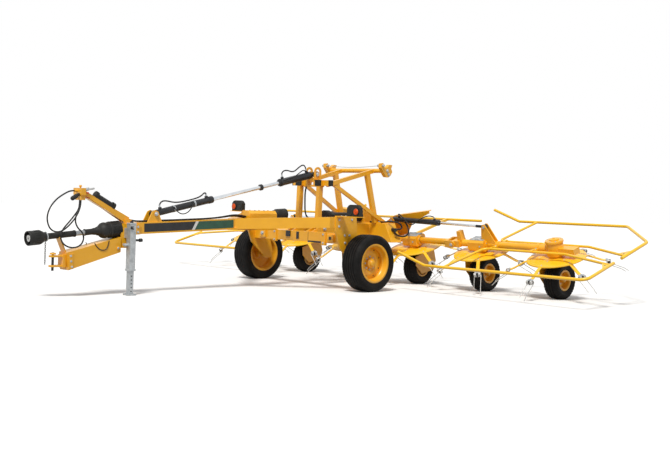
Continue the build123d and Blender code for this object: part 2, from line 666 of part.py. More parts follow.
def make_lift_frame():
    """Two arms from the pivot to a cross box, with the centre gear housing on it."""
    arm_top = BOX_TOP - 15

    def across(half_width, radius):
        return rod((PIVOT_X, ARM_Y - half_width, PIVOT_Z), (PIVOT_X, ARM_Y + half_width, PIVOT_Z), radius)

    front_x = FRONT_POST_X + 38
    arm = plate([(PIVOT_X + 40, PIVOT_Z - 20), (PIVOT_X - 60, PIVOT_Z - 50), (BOX_X + 80, BOX_LOW + 20),
                 (BOX_X + 80, arm_top), (front_x, arm_top), (front_x, arm_top - 30)], ARM_Y, ARM_WIDTH)
    arm = arm + across(ARM_WIDTH / 2, PIVOT_BOSS) - across(ARM_WIDTH, PIVOT_RADIUS + RUNNING_GAP)
    box = cross_plate([(-BOX_FOOT_HALF, BOX_LOW), (BOX_FOOT_HALF, BOX_LOW), (BOX_HALF_WIDTH, BOX_TOP),
                       (-BOX_HALF_WIDTH, BOX_TOP)], BOX_X, BOX_LENGTH)
    housing = block((BOX_X - 90, BOX_X + 90), (-85, 85), (BOX_TOP - 10, LINE_Z + LINE_RADIUS + 45))
    return box + [arm, other_side(arm), housing], arm_top


def make_tower(arm_top):
    """Posts, diagonals and rails on both sides, joined by tubes, with hooks and cylinder ears."""
    x, z = TOWER_CROSS_X, TOWER_CROSS_Z
    rear_x, rear_z = TOWER_REAR_X, TOWER_REAR_Z
    pin_x, pin_z = TOWER_PIN
    half = TOWER_CROSS_SIZE / 2
    rail_z = z - 25
    rail_slope = (rear_z - rail_z) / (rear_x - x)
    inner_ear = TOWER_EAR_Y - TOWER_EAR_THICK / 2
    notch = block((x - half - 5, x + half + 5), (-inner_ear, inner_ear), (SADDLE_TOP, z + half + 5))
    cross = block((x - half, x + half), (-TOWER_CROSS_HALF, TOWER_CROSS_HALF), (z - half, z + half)) - notch
    saddle = block((x - half, x + half), (-ARM_Y, ARM_Y), (SADDLE_TOP - SADDLE_DEPTH, SADDLE_TOP))
    pieces = [saddle]
    for side in (1, -1):
        pieces += [
            bar((FRONT_POST_X, side * ARM_Y, arm_top),
                (FRONT_POST_X - FRONT_POST_LEAN, side * ARM_Y, z - half + 10), 64, 72, up=(1, 0, 0)),
            block((FRONT_POST_X - 95, FRONT_POST_X + 36), sorted((side * (ARM_Y - 40), side * (ARM_Y + 40))),
                  (arm_top, arm_top + TOWER_FOOT_PLATE)),
            block((x - half, FRONT_POST_X + 20), sorted((side * (ARM_Y - 65), side * (ARM_Y + 65))),
                  (z - half, z + half)),
            bar((REAR_POST_X, side * 345, BOX_TOP + 8),
                (REAR_POST_TOP_X, side * 325, rail_z + rail_slope * (REAR_POST_TOP_X - x)), 56, 72, up=(1, 0, 0)),
            bar((DIAGONAL_X, side * 300, rail_z + rail_slope * (DIAGONAL_X - x) - 10),
                (DIAGONAL_FOOT_X, side * 385, BOX_TOP + 14), 40, 52),
            bar((x, side * 300, rail_z), (rear_x, side * 330, rear_z), 50, 58),
            block((BOX_X - BOX_LENGTH / 2 + 5, BOX_X + BOX_LENGTH / 2), sorted((side * 290, side * 420)),
                  (BOX_TOP, BOX_TOP + TOWER_FOOT_PLATE)),
            plate([(rear_x + 130, rear_z + 40), (rear_x + 125, rear_z + 100), (rear_x + 92, rear_z + 108),
                   (rear_x + 60, rear_z + 45), (rear_x + 5, rear_z + 48), (rear_x - 45, rear_z + 90),
                   (rear_x - 100, rear_z + 85), (rear_x - 80, rear_z + 35), (rear_x - 105, rear_z - 15),
                   (rear_x - 70, rear_z - 65), (rear_x - 25, rear_z - 95), (rear_x + 25, rear_z - 90),
                   (rear_x + 65, rear_z - 45)], side * (TOWER_REAR_HALF + HOOK_THICK / 6), HOOK_THICK),
            plate([(x - 20, z), (x + 38, z), (pin_x + 42, pin_z), (pin_x + 34, pin_z + 32), (pin_x, pin_z + 48),
                   (pin_x - 34, pin_z + 36), (pin_x - 44, pin_z)], side * TOWER_EAR_Y, TOWER_EAR_THICK),
        ]
    rear = rod((rear_x, -TOWER_REAR_HALF, rear_z), (rear_x, TOWER_REAR_HALF, rear_z), TOWER_REAR_RADIUS)
    return cross + [rear] + pieces


def make_centre_beam():
    """Rotor beam of the lift frame, with hinge forks and the fold cylinders' brackets."""
    end = HINGE_Y - 90
    pieces = [rod((0, -end, 0), (0, end, 0), BEAM_RADIUS - 4)]
    for side in (1, -1):
        for x in (FORK_X, -FORK_X):
            pieces.append(block((x - FORK_THICK / 2, x + FORK_THICK / 2),
                                sorted((side * (HINGE_Y - 125), side * (HINGE_Y + 5))), (-50, 50)))
            pieces.append(rod((x - FORK_THICK / 2, side * HINGE_Y, 0), (x + FORK_THICK / 2, side * HINGE_Y, 0),
                              50))
        pieces.append(block((-FORK_X, FORK_X), sorted((side * (HINGE_Y - 125), side * (HINGE_Y - 85))),
                            (-50, 50)))
        pieces.append(rod((-FORK_X - 20, side * HINGE_Y, 0), (FORK_X + 20, side * HINGE_Y, 0), HINGE_RADIUS))
        tip_y, tip_z = FOLD_BASE_Y + FOLD_ARM_REACH, FOLD_BASE_Z + FOLD_ARM_RISE
        pieces.append(cross_plate([
            (side * 60, 30), (side * 60, FOLD_BASE_Z - 60), (side * (FOLD_BASE_Y - 40), FOLD_BASE_Z + 40),
            (side * tip_y, tip_z), (side * tip_y, tip_z - 40), (side * (FOLD_BASE_Y + 300), FOLD_BASE_Z - 60),
            (side * (FOLD_BASE_Y + 140), 30),
        ], -FOLD_ARM_X, 12))
        pieces.append(bar((-FOLD_ARM_X - 24, side * (FOLD_BASE_Y - 42), FOLD_BASE_Z + 35),
                          (-FOLD_ARM_X - 24, side * tip_y, tip_z - 5), FOLD_FLANGE, 10))
        pieces.append(cross_plate([
            (side * 60, 30), (side * 60, FOLD_BASE_Z - 110), (side * (FOLD_BASE_Y - 38), FOLD_BASE_Z + 20),
            (side * (FOLD_BASE_Y - 15), FOLD_BASE_Z + 40), (side * (FOLD_BASE_Y + 20), FOLD_BASE_Z + 38),
            (side * (FOLD_BASE_Y + 45), FOLD_BASE_Z), (side * (FOLD_BASE_Y + 70), 30),
        ], FOLD_ARM_X, 12))
        pieces.append(rod((-FOLD_ARM_X - 14, side * FOLD_BASE_Y, FOLD_BASE_Z),
                          (FOLD_ARM_X + 14, side * FOLD_BASE_Y, FOLD_BASE_Z), FOLD_PIN_RADIUS))
    beam = ROTOR_FRAME * (Part() + pieces)
    middle = (BOX_LOW + BOX_TOP) / 2
    return beam + [
        bar((BEAM_X, side * 290, BEAM_Z), (BOX_X, side * 290, middle), 80, 110) for side in (1, -1)
    ]


def make_lift():
    nodes = {}
    frame, arm_top = make_lift_frame()
    housings = [ROTOR_FRAME * gearbox(row["y"], False) for row in ROTORS if row["carrier"] == "centre"]
    beam = make_centre_beam() - [frame] - housings
    nodes["lift_frame"] = frame
    nodes["tower"] = make_tower(arm_top) - frame
    nodes["centre_beam"] = beam
    nodes["centre_gearboxes"] = Part() + housings
    inner = GUARD_REAR - 60
    guard = rod((-inner, -HINGE_Y + 300, 0), (-inner, HINGE_Y - 300, 0), GUARD_TUBE)
    guard += [bar((-inner, side * 440, 0), (0, side * 440, 0), 40, 40) for side in (1, -1)]
    nodes["centre_guard"] = ROTOR_FRAME * guard - [beam] - housings
    line = Plane(origin=(BOX_X + 85, 0, LINE_Z), z_dir=(1, 0, 0)) * upright([
        (0, 0), (LINE_BELL_RADIUS, 0), (LINE_BELL_RADIUS, 90), (LINE_RADIUS, 150), (LINE_RADIUS, 600),
        (LINE_BELL_RADIUS - 14, 640), (LINE_BELL_RADIUS - 14, 740), (0, 740),
    ])
    nodes["line_tube"] = line - frame
    return nodes


def make_wing():
    """The left wing, as it lies at work."""
    nodes = {}
    rows = [row for row in ROTORS if row["carrier"] == "left"]
    outer_y, inner_y = rows[0]["y"], rows[1]["y"]
    housings = [gearbox(row["y"], index == 0) for index, row in enumerate(rows)]
    reach = FORK_X - FORK_THICK / 2 - 2
    boss = rod((-reach, HINGE_Y, 0), (reach, HINGE_Y, 0), HINGE_BOSS)
    boss += block((-reach, reach), (HINGE_Y, HINGE_Y + 120), (-HINGE_BOSS, HINGE_BOSS))
    bore = rod((-FORK_X, HINGE_Y, 0), (FORK_X, HINGE_Y, 0), HINGE_RADIUS + RUNNING_GAP)
    lug = cross_plate([(HINGE_Y + 70, 20), (HINGE_Y + 75, 180), (HINGE_Y + 130, 180), (HINGE_Y + 150, 20)],
                      0, 90)
    beam = boss - bore + [lug, rod((0, HINGE_Y + 80, 0), (0, outer_y - 60, 0), BEAM_RADIUS)]
    side_x = EYE_WIDTH / 2 + 14
    for x in (side_x, -side_x):
        beam += cross_plate([
            (FOLD_EYE_Y - 60, 30), (FOLD_EYE_Y - 60, 130), (FOLD_EYE_Y - 40, FOLD_EYE_Z),
            (FOLD_EYE_Y - 18, FOLD_EYE_Z + 38), (FOLD_EYE_Y + 20, FOLD_EYE_Z + 38), (FOLD_EYE_Y + 44, FOLD_EYE_Z),
            (FOLD_EYE_Y + 170, 30),
        ], x, 14)
    nodes["beam"] = beam - housings
    nodes["gearboxes"] = Part() + housings

    edge = outer_y + GUARD_SIDE
    cut = edge - GUARD_CORNER
    front_path = [(GUARD_FRONT, HINGE_Y - 200, GUARD_RISE), (GUARD_FRONT, HINGE_Y + 240, 0),
                  (GUARD_FRONT, edge, 0), (360, edge, 0)]
    rear_path = [(170, edge, 0), (-480, edge, 0), (-GUARD_REAR, cut, 0), (-GUARD_REAR, HINGE_Y + 350, 0),
                 (-GUARD_REAR, HINGE_Y - 70, GUARD_RISE)]
    front_support = [(GUARD_FRONT, inner_y + 130, 0), (SUPPORT_OFFSET, inner_y + 200, 0),
                     (SUPPORT_OFFSET, outer_y + 250, 0), (440, edge, 0)]
    rear_support = [(-GUARD_REAR, inner_y + 230, 0), (-SUPPORT_OFFSET, inner_y + 200, 0),
                    (-SUPPORT_OFFSET, outer_y + 400, 0), (80, edge, 0)]
    front = pipe(front_path, GUARD_TUBE, GUARD_BEND) + pipe(front_support, SUPPORT_TUBE, 90)
    rear = pipe(rear_path, GUARD_TUBE, GUARD_BEND) + pipe(rear_support, SUPPORT_TUBE, 90)
    front += flat_plate([(392, edge - 140), (425, edge - 5), (620, edge - 5)], 12)
    rear += flat_plate([(20, edge - 140), (100, edge - 5), (-140, edge - 5)], 12)
    for y in (inner_y + 320, outer_y - 250):
        front += block((0, SUPPORT_OFFSET), (y - 24, y + 24), (-12, 12))
        rear += block((-SUPPORT_OFFSET, 0), (y - 24, y + 24), (-12, 12))
    nodes["guards"] = front - [nodes["beam"]] - housings + (rear - [nodes["beam"]] - housings)
    return {name: ROTOR_FRAME * shape for name, shape in nodes.items()}


def stroke(base, eye, pivot, degrees):
    """How far a cylinder shortens when its eye turns about a pivot, all in one plane."""
    turn = math.radians(degrees)
    u, v = eye[0] - pivot[0], eye[1] - pivot[1]
    moved = (pivot[0] + u * math.cos(turn) - v * math.sin(turn), pivot[1] + u * math.sin(turn) + v * math.cos(turn))
    return math.dist(base, eye) - math.dist(base, moved)


def cylinder_parts(base, eye_place, travel, spare, barrel_radius, rod_radius, pin_radius):
    """Barrel and rod between two pins, built along X from the base pin."""
    gap = math.dist(base, eye_place)
    barrel_length = travel + ROD_GRIP + BORE_START + spare
    eye = pin_radius + 18
    barrel = rod((0, 0, 0), (barrel_length, 0, 0), barrel_radius)
    barrel += rod((0, -EYE_WIDTH, 0), (0, EYE_WIDTH, 0), eye)
    barrel -= rod((BORE_START, 0, 0), (barrel_length + 10, 0, 0), rod_radius + 0.3)
    barrel -= rod((0, -EYE_WIDTH - 20, 0), (0, EYE_WIDTH + 20, 0), pin_radius + RUNNING_GAP)
    stem = rod((barrel_length - ROD_GRIP, 0, 0), (gap - eye + 10, 0, 0), rod_radius)
    stem += rod((gap, -EYE_WIDTH / 2, 0), (gap, EYE_WIDTH / 2, 0), eye)
    stem -= rod((gap, -EYE_WIDTH, 0), (gap, EYE_WIDTH, 0), pin_radius)
    return barrel, stem


def make_cylinders():
    nodes = {}
    travel = stroke(LIFT_BASE, TOWER_PIN, (PIVOT_X, PIVOT_Z), -LIFT_MAX_DEG)
    barrel, stem = cylinder_parts(LIFT_BASE, TOWER_PIN, travel, LIFT_SPARE, LIFT_BARREL_RADIUS, LIFT_ROD_RADIUS,
                                  LIFT_PIN_RADIUS)
    tail = math.dist(LIFT_BASE, TOWER_PIN) - LIFT_PIN_RADIUS - 32
    second = rod((tail - SECOND_BARREL_LENGTH, 0, 0), (tail, 0, 0), SECOND_BARREL_RADIUS)
    collar_x = tail - SECOND_BARREL_LENGTH - 340
    collar = rod((collar_x, 0, 0), (collar_x + 35, 0, 0), LIFT_BARREL_RADIUS)
    lean = math.degrees(math.atan2(TOWER_PIN_Z - LIFT_BASE_Z, LIFT_BASE_X - TOWER_PIN_X))
    place = Pos(LIFT_BASE_X, 0, LIFT_BASE_Z) * Rot(0, lean, 0) * Rot(0, 0, 180)
    nodes["lift_barrel"] = place * barrel
    nodes["lift_rod"] = place * (stem + [collar, second])
    travel = stroke(FOLD_BASE, FOLD_EYE, (HINGE_Y, 0), FOLD_MAX_DEG)
    barrel, stem = cylinder_parts(FOLD_BASE, FOLD_EYE, travel, FOLD_SPARE, FOLD_BARREL_RADIUS, FOLD_ROD_RADIUS,
                                  FOLD_PIN_RADIUS)
    lean = math.degrees(math.atan2(FOLD_EYE_Z - FOLD_BASE_Z, FOLD_EYE_Y - FOLD_BASE_Y))
    place = ROTOR_FRAME * Pos(0, FOLD_BASE_Y, FOLD_BASE_Z) * Rot(lean, 0, 0) * Rot(0, 0, 90)
    for name, shape in (("fold_barrel", place * barrel), ("fold_rod", place * stem)):
        nodes[name + "_left"] = shape
        nodes[name + "_right"] = other_side(shape)
    return nodes


def make_wheels():
    nodes = {}
    rubber, steel = transport_wheel()
    for name, side, turn in (("left", 1, 0), ("right", -1, 180)):
        place = Pos(AXLE_X, side * WHEEL_Y, WHEEL_RADIUS) * Rot(0, 0, turn)
        nodes["tyre_" + name] = place * rubber
        nodes["rim_" + name] = place * steel
    rubber, steel = rotor_wheel()
    spinners = {row["phase"]: rotor(row["phase"]) for row in ROTORS[:2]}
    legs = {"centre": [], "left": [], "right": []}
    for row in ROTORS:
        place = ROTOR_FRAME * Pos(0, row["y"], 0)
        hub = Pos(*frame_point(0, row["y"], -WHEEL_DROP))
        nodes["rotor_" + row["name"]] = place * spinners[row["phase"]]
        nodes["rotor_tyre_" + row["name"]] = hub * rubber
        nodes["rotor_rim_" + row["name"]] = hub * steel
        legs[row["carrier"]].append(place * wheel_leg(row["plate_side"]))
    for carrier, pieces in legs.items():
        nodes["wheel_legs_" + carrier] = Part() + pieces
    return nodes


def make_parts():
    parts = make_chassis()
    parts.update(make_lift())
    for name, shape in make_wing().items():
        parts["wing_left_" + name] = shape
        parts["wing_right_" + name] = other_side(shape)
    parts.update(make_cylinders())
    parts.update(make_wheels())
    return parts


if __name__ == "__main__":
    os.makedirs("parts", exist_ok=True)
    for name, shape in make_parts().items():
        export_step(shape, "parts/" + name + ".step")
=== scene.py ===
import json
import math

import bmesh
import bpy
from mathutils import Matrix, Vector


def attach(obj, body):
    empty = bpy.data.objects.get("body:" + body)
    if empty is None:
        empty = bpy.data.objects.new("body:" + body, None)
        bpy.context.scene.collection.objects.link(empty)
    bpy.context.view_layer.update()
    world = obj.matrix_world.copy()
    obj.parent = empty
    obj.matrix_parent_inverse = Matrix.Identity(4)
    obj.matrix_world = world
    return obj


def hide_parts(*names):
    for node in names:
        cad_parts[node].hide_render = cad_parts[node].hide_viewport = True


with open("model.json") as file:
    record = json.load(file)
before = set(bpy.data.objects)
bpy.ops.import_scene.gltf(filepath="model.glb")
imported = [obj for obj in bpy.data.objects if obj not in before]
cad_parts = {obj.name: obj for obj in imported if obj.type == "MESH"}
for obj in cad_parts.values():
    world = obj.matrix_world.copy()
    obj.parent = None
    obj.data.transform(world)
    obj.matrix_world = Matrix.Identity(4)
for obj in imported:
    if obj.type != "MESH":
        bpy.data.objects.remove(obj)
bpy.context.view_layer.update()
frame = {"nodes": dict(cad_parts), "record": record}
nodes = frame["nodes"]

# Frame: X forward, Y to the machine's left, Z up, metres. Places along it are measured from the axle.
AXLE_X = -0.898
WHEEL_RADIUS, WHEEL_WIDTH, WHEEL_RIM, WHEEL_Y = 0.38, 0.3, 0.245, 1.13
BEAM_X, BEAM_Z = AXLE_X - 1.52, 0.66
TILT = math.radians(17)
ROTOR_FRAME = Matrix.Translation((BEAM_X, 0, BEAM_Z)) @ Matrix.Rotation(TILT, 4, "Y")
ROTOR_PITCH = 1.219
ROTOR_Y = [(2.5 - index) * ROTOR_PITCH for index in range(6)]
ROTOR_ARMS = 6
ROTOR_WHEEL_RADIUS, ROTOR_WHEEL_WIDTH, ROTOR_RIM = 0.25, 0.21, 0.125
WHEEL_DROP = (BEAM_Z - ROTOR_WHEEL_RADIUS) / math.cos(TILT)
# Rotors from left to right: the side of the wheel that its plate is on
PLATE_SIDES = (-1, -1, 1, -1, 1, 1)
SIDES, BOTH = dict(left=1, right=-1), (1, -1)
FORE, LEFT, UP = (1, 0, 0), (0, 1, 0), (0, 0, 1)
ACROSS = {1: Matrix.Rotation(-math.pi / 2, 4, "X"), -1: Matrix.Rotation(math.pi / 2, 4, "X")}


def spot(x, y, z):
    return Vector((AXLE_X + x, y, z))


def shift(x, y, z):
    return Matrix.Translation((x, y, z))


def at(x, y, z):
    return Matrix.Translation(spot(x, y, z))


def turns(count, phase=0.0):
    """Even turns about the local Z axis."""
    return [Matrix.Rotation(2 * math.pi * (step + phase) / count, 4, "Z") for step in range(count)]


def circle(radius, count):
    steps = (2 * math.pi * step / count for step in range(count))
    return [(radius * math.cos(t), radius * math.sin(t)) for t in steps]


def add_object(name, data):
    thing = bpy.data.objects.new(name, data)
    bpy.context.scene.collection.objects.link(thing)
    return thing


# The photograph's viewing place, from the axle, its yaw, pitch and roll, and its lens
CAMERA = dict(place=(9.84, 10.42, 1.24), turn=(-134.16, -0.09, 1.81), lens=54.24, shift=(0.013, -0.0388))
FILL_STRENGTH, KEY_STRENGTH, KEY_ANGLE, KEY_AIM = 0.46, 2.9, 14, (-0.55, -0.35, -1.0)
FLOOR_REACH = 60


def place_camera():
    yaw, pitch, roll = (math.radians(v) for v in CAMERA["turn"])
    ahead = Vector((math.cos(pitch) * math.cos(yaw), math.cos(pitch) * math.sin(yaw), math.sin(pitch)))
    flat_right = Vector((math.sin(yaw), -math.cos(yaw), 0))
    flat_up = flat_right.cross(ahead)
    right = math.cos(roll) * flat_right + math.sin(roll) * flat_up
    up = -math.sin(roll) * flat_right + math.cos(roll) * flat_up
    data = bpy.data.cameras.new("camera")
    data.lens, data.sensor_width = CAMERA["lens"], 36
    data.shift_x, data.shift_y = CAMERA["shift"]
    data.clip_end = 200
    camera = add_object("camera", data)
    turn = Matrix((right, up, -ahead)).transposed().to_4x4()
    camera.matrix_world = at(*CAMERA["place"]) @ turn
    bpy.context.scene.camera = camera


def node_tree(name):
    material = bpy.data.materials.new(name)
    material.use_nodes = True
    tree = material.node_tree
    return material, tree, tree.nodes["Principled BSDF"]


def set_inputs(node, values):
    for key, value in values.items():
        node.inputs[key].default_value = value


def add_node(tree, kind, values=(), **settings):
    node = tree.nodes.new(kind)
    for key, value in settings.items():
        setattr(node, key, value)
    set_inputs(node, dict(values))
    return node


def join(source, out, sink, into):
    source.id_data.links.new(source.outputs[out], sink.inputs[into])


def noise_node(tree, scale, detail=4.0):
    place = add_node(tree, "ShaderNodeTexCoord")
    noise = add_node(tree, "ShaderNodeTexNoise", {"Scale": scale, "Detail": detail, "Roughness": 0.6})
    join(place, "Object", noise, "Vector")
    return noise


def ramp_node(tree, source, stops):
    """A colour ramp over a noise from a list of (place, colour)."""
    ramp = add_node(tree, "ShaderNodeValToRGB")
    points = ramp.color_ramp.elements
    while len(points) < len(stops):
        points.new(0.5)
    for point, (place, colour) in zip(points, stops):
        point.position, point.color = place, (*colour, 1)
    join(source, "Fac", ramp, "Fac")
    return ramp


def surface(name, colours, rough, metallic=0.0, grain=6.0, fine=220.0, bump=0.05, coat=0.0, specular=0.5,
        dust=None):
    """A finish whose colour drifts between shades, with uneven gloss, a fine grain and dust low down."""
    material, tree, shader = node_tree(name)
    drift = noise_node(tree, grain)
    count = len(colours) - 1
    stops = [(0.3 + 0.4 * i / count, colour) for i, colour in enumerate(colours)]
    shade, out = ramp_node(tree, drift, stops), "Color"
    if dust:
        dust_colour, height, share = dust
        place = add_node(tree, "ShaderNodeTexCoord")
        split = add_node(tree, "ShaderNodeSeparateXYZ")
        join(place, "Object", split, "Vector")
        fade = add_node(tree, "ShaderNodeMapRange", {"From Min": 0.0, "From Max": height, "To Min": share,
            "To Max": 0.0})
        join(split, "Z", fade, "Value")
        patches = noise_node(tree, 14.0, 6.0)
        amount = add_node(tree, "ShaderNodeMath", operation="MULTIPLY")
        join(fade, "Result", amount, 0)
        join(patches, "Fac", amount, 1)
        mix = add_node(tree, "ShaderNodeMix", data_type="RGBA")
        join(amount, "Value", mix, "Factor")
        join(shade, out, mix, "A")
        set_inputs(mix, {"B": (*dust_colour, 1)})
        shade, out = mix, "Result"
    join(shade, out, shader, "Base Color")
    gloss = add_node(tree, "ShaderNodeMapRange", {"To Min": rough - 0.08, "To Max": rough + 0.1})
    wear = noise_node(tree, grain * 5, 6.0)
    join(wear, "Fac", gloss, "Value")
    join(gloss, "Result", shader, "Roughness")
    set_inputs(shader, {"Metallic": metallic, "Specular IOR Level": specular})
    if coat:
        set_inputs(shader, {"Coat Weight": coat, "Coat Roughness": 0.2})
    peel = noise_node(tree, fine, 3.0)
    relief = add_node(tree, "ShaderNodeBump", {"Strength": bump, "Distance": 0.002})
    join(peel, "Fac", relief, "Height")
    join(relief, "Normal", shader, "Normal")
    return material


SOIL = (0.32, 0.23, 0.13)
FINISHES = dict(
    yellow=surface("yellow_paint", [(0.83, 0.39, 0.009), (0.9, 0.435, 0.011), (0.94, 0.468, 0.014)], 0.36,
        coat=0.25, grain=2.5, dust=(SOIL, 0.45, 0.4)),
    bright=surface("bright_yellow", [(0.89, 0.49, 0.009), (0.94, 0.535, 0.012), (0.97, 0.57, 0.016)], 0.36,
        coat=0.25, grain=2.5, dust=(SOIL, 0.25, 0.3)),
    black=surface("black_paint", [(0.006, 0.007, 0.009), (0.012, 0.013, 0.016), (0.02, 0.022, 0.026)],
        0.36, specular=0.35, coat=0.1),
    plastic=surface("black_plastic", [(0.008, 0.008, 0.008), (0.014, 0.014, 0.013), (0.024, 0.024, 0.022)],
        0.55, bump=0.18, fine=340.0, specular=0.3),
    rubber=surface("tyre_rubber", [(0.004, 0.004, 0.004), (0.008, 0.0075, 0.0075), (0.016, 0.015, 0.014)],
        0.66, bump=0.25, fine=160.0, grain=9.0, specular=0.13, dust=((0.06, 0.05, 0.04), 0.4, 0.1)),
    chrome=surface("chrome", [(0.6, 0.63, 0.67), (0.68, 0.71, 0.74), (0.75, 0.77, 0.79)], 0.2,
        metallic=1.0, bump=0.02),
    zinc=surface("galvanised", [(0.36, 0.39, 0.41), (0.45, 0.48, 0.5), (0.55, 0.58, 0.6)], 0.5,
        metallic=0.5, grain=24.0, bump=0.08),
    steel=surface("steel", [(0.36, 0.36, 0.35), (0.48, 0.48, 0.47), (0.6, 0.6, 0.58)], 0.36, metallic=0.85,
        grain=30.0),
    amber=surface("amber_lens", [(0.62, 0.06, 0.002), (0.74, 0.085, 0.003), (0.84, 0.125, 0.005)], 0.3,
        specular=0.25, grain=20.0),
    hose=surface("hose_rubber", [(0.006, 0.006, 0.007), (0.011, 0.011, 0.012), (0.02, 0.02, 0.021)], 0.5,
        grain=40.0, specular=0.3),
    green=surface("green_band", [(0.004, 0.055, 0.03), (0.007, 0.075, 0.04), (0.01, 0.092, 0.05)], 0.36,
        coat=0.1, grain=12.0),
    white=surface("white_band", [(0.7, 0.7, 0.68), (0.8, 0.8, 0.78), (0.86, 0.86, 0.85)], 0.4, grain=12.0),
    red=surface("red_cap", [(0.42, 0.012, 0.008), (0.52, 0.018, 0.01), (0.6, 0.026, 0.014)], 0.4,
        grain=40.0),
    rope=surface("pull_rope", [(0.38, 0.37, 0.33), (0.5, 0.49, 0.45), (0.62, 0.61, 0.56)], 0.8, grain=60.0),
)
SLOT_FINISH = dict(yellow_paint="yellow", steel="steel", chrome="chrome", black_paint="black",
    black_plastic="plastic", galvanised="zinc", tyre_rubber="rubber", amber_lens="amber")
FINISH_SLOT = {finish: slot for slot, finish in SLOT_FINISH.items()}
FINISH_SLOT.update(hose="black_plastic", rope="galvanised", green="black_paint", white="black_paint",
    bright="yellow_paint", red="black_plastic")
BRIGHT_NODES = ("wing_left_guards", "wing_right_guards", "centre_guard")


def seen_ray(tree):
    """One for rays that the camera, a mirror or glass sees, and nought for the rest."""
    path = add_node(tree, "ShaderNodeLightPath")
    either = add_node(tree, "ShaderNodeMath", operation="MAXIMUM")
    any_ray = add_node(tree, "ShaderNodeMath", operation="MAXIMUM")
    join(path, "Is Camera Ray", either, 0)
    join(path, "Is Glossy Ray", either, 1)
    join(either, "Value", any_ray, 0)
    join(path, "Is Transmission Ray", any_ray, 1)
    return any_ray


def light_stage():
    """A pale floor, a white surround and one broad soft lamp."""
    scene = bpy.context.scene
    scene.view_settings.view_transform = "Standard"
    world = bpy.data.worlds.new("surround")
    scene.world = world
    world.use_nodes = True
    tree = world.node_tree
    fill = tree.nodes["Background"]
    set_inputs(fill, {"Color": (0.93, 0.96, 1.0, 1), "Strength": FILL_STRENGTH})
    seen = add_node(tree, "ShaderNodeBackground", {"Color": (1, 1, 1, 1), "Strength": 1.0})
    mix = add_node(tree, "ShaderNodeMixShader")
    join(seen_ray(tree), "Value", mix, "Fac")
    join(fill, "Background", mix, 1)
    join(seen, "Background", mix, 2)
    join(mix, "Shader", tree.nodes["World Output"], "Surface")

    mesh = bpy.data.meshes.new("floor")
    corners = [(x * FLOOR_REACH, y * FLOOR_REACH, 0) for x, y in ((-1, -1), (1, -1), (1, 1), (-1, 1))]
    mesh.from_pydata(corners, [], [(0, 1, 2, 3)])
    floor = add_object("floor", mesh)
    material, tree, shader = node_tree("pale_floor")
    set_inputs(shader, {"Roughness": 0.9, "Specular IOR Level": 0.1})
    soft = noise_node(tree, 0.6)
    tone = ramp_node(tree, soft, [(0.3, (0.93, 0.93, 0.93)), (0.7, (0.96, 0.96, 0.96))])
    dim = ramp_node(tree, soft, [(0.3, (0.3, 0.29, 0.27)), (0.7, (0.34, 0.33, 0.31))])
    shown = add_node(tree, "ShaderNodeMix", data_type="RGBA")
    join(seen_ray(tree), "Value", shown, "Factor")
    join(dim, "Color", shown, "A")
    join(tone, "Color", shown, "B")
    join(shown, "Result", shader, "Base Color")
    mesh.materials.append(material)

    lamp = bpy.data.lights.new("key_lamp", "SUN")
    lamp.energy, lamp.angle = KEY_STRENGTH, math.radians(KEY_ANGLE)
    lamp.color = (1.0, 0.97, 0.92)
    key = add_object("key_lamp", lamp)
    key.rotation_euler = Vector(KEY_AIM).to_track_quat("-Z", "Y").to_euler()


def look(origin, direction):
    """A place whose local Z points along a direction."""
    turn = Vector(direction).to_track_quat("Z", "Y").to_matrix().to_4x4()
    return Matrix.Translation(origin) @ turn


def bridge(rings):
    """Faces between each closed ring of points and the next, without those that close up to a line."""
    faces = []
    for low, high in zip(rings, rings[1:]):
        for a in range(len(low)):
            b = (a + 1) % len(low)
            face = list(dict.fromkeys((low[a], low[b], high[b], high[a])))
            if len(face) > 2:
                faces.append(face)
    return faces


SHARP_ANGLE = 34


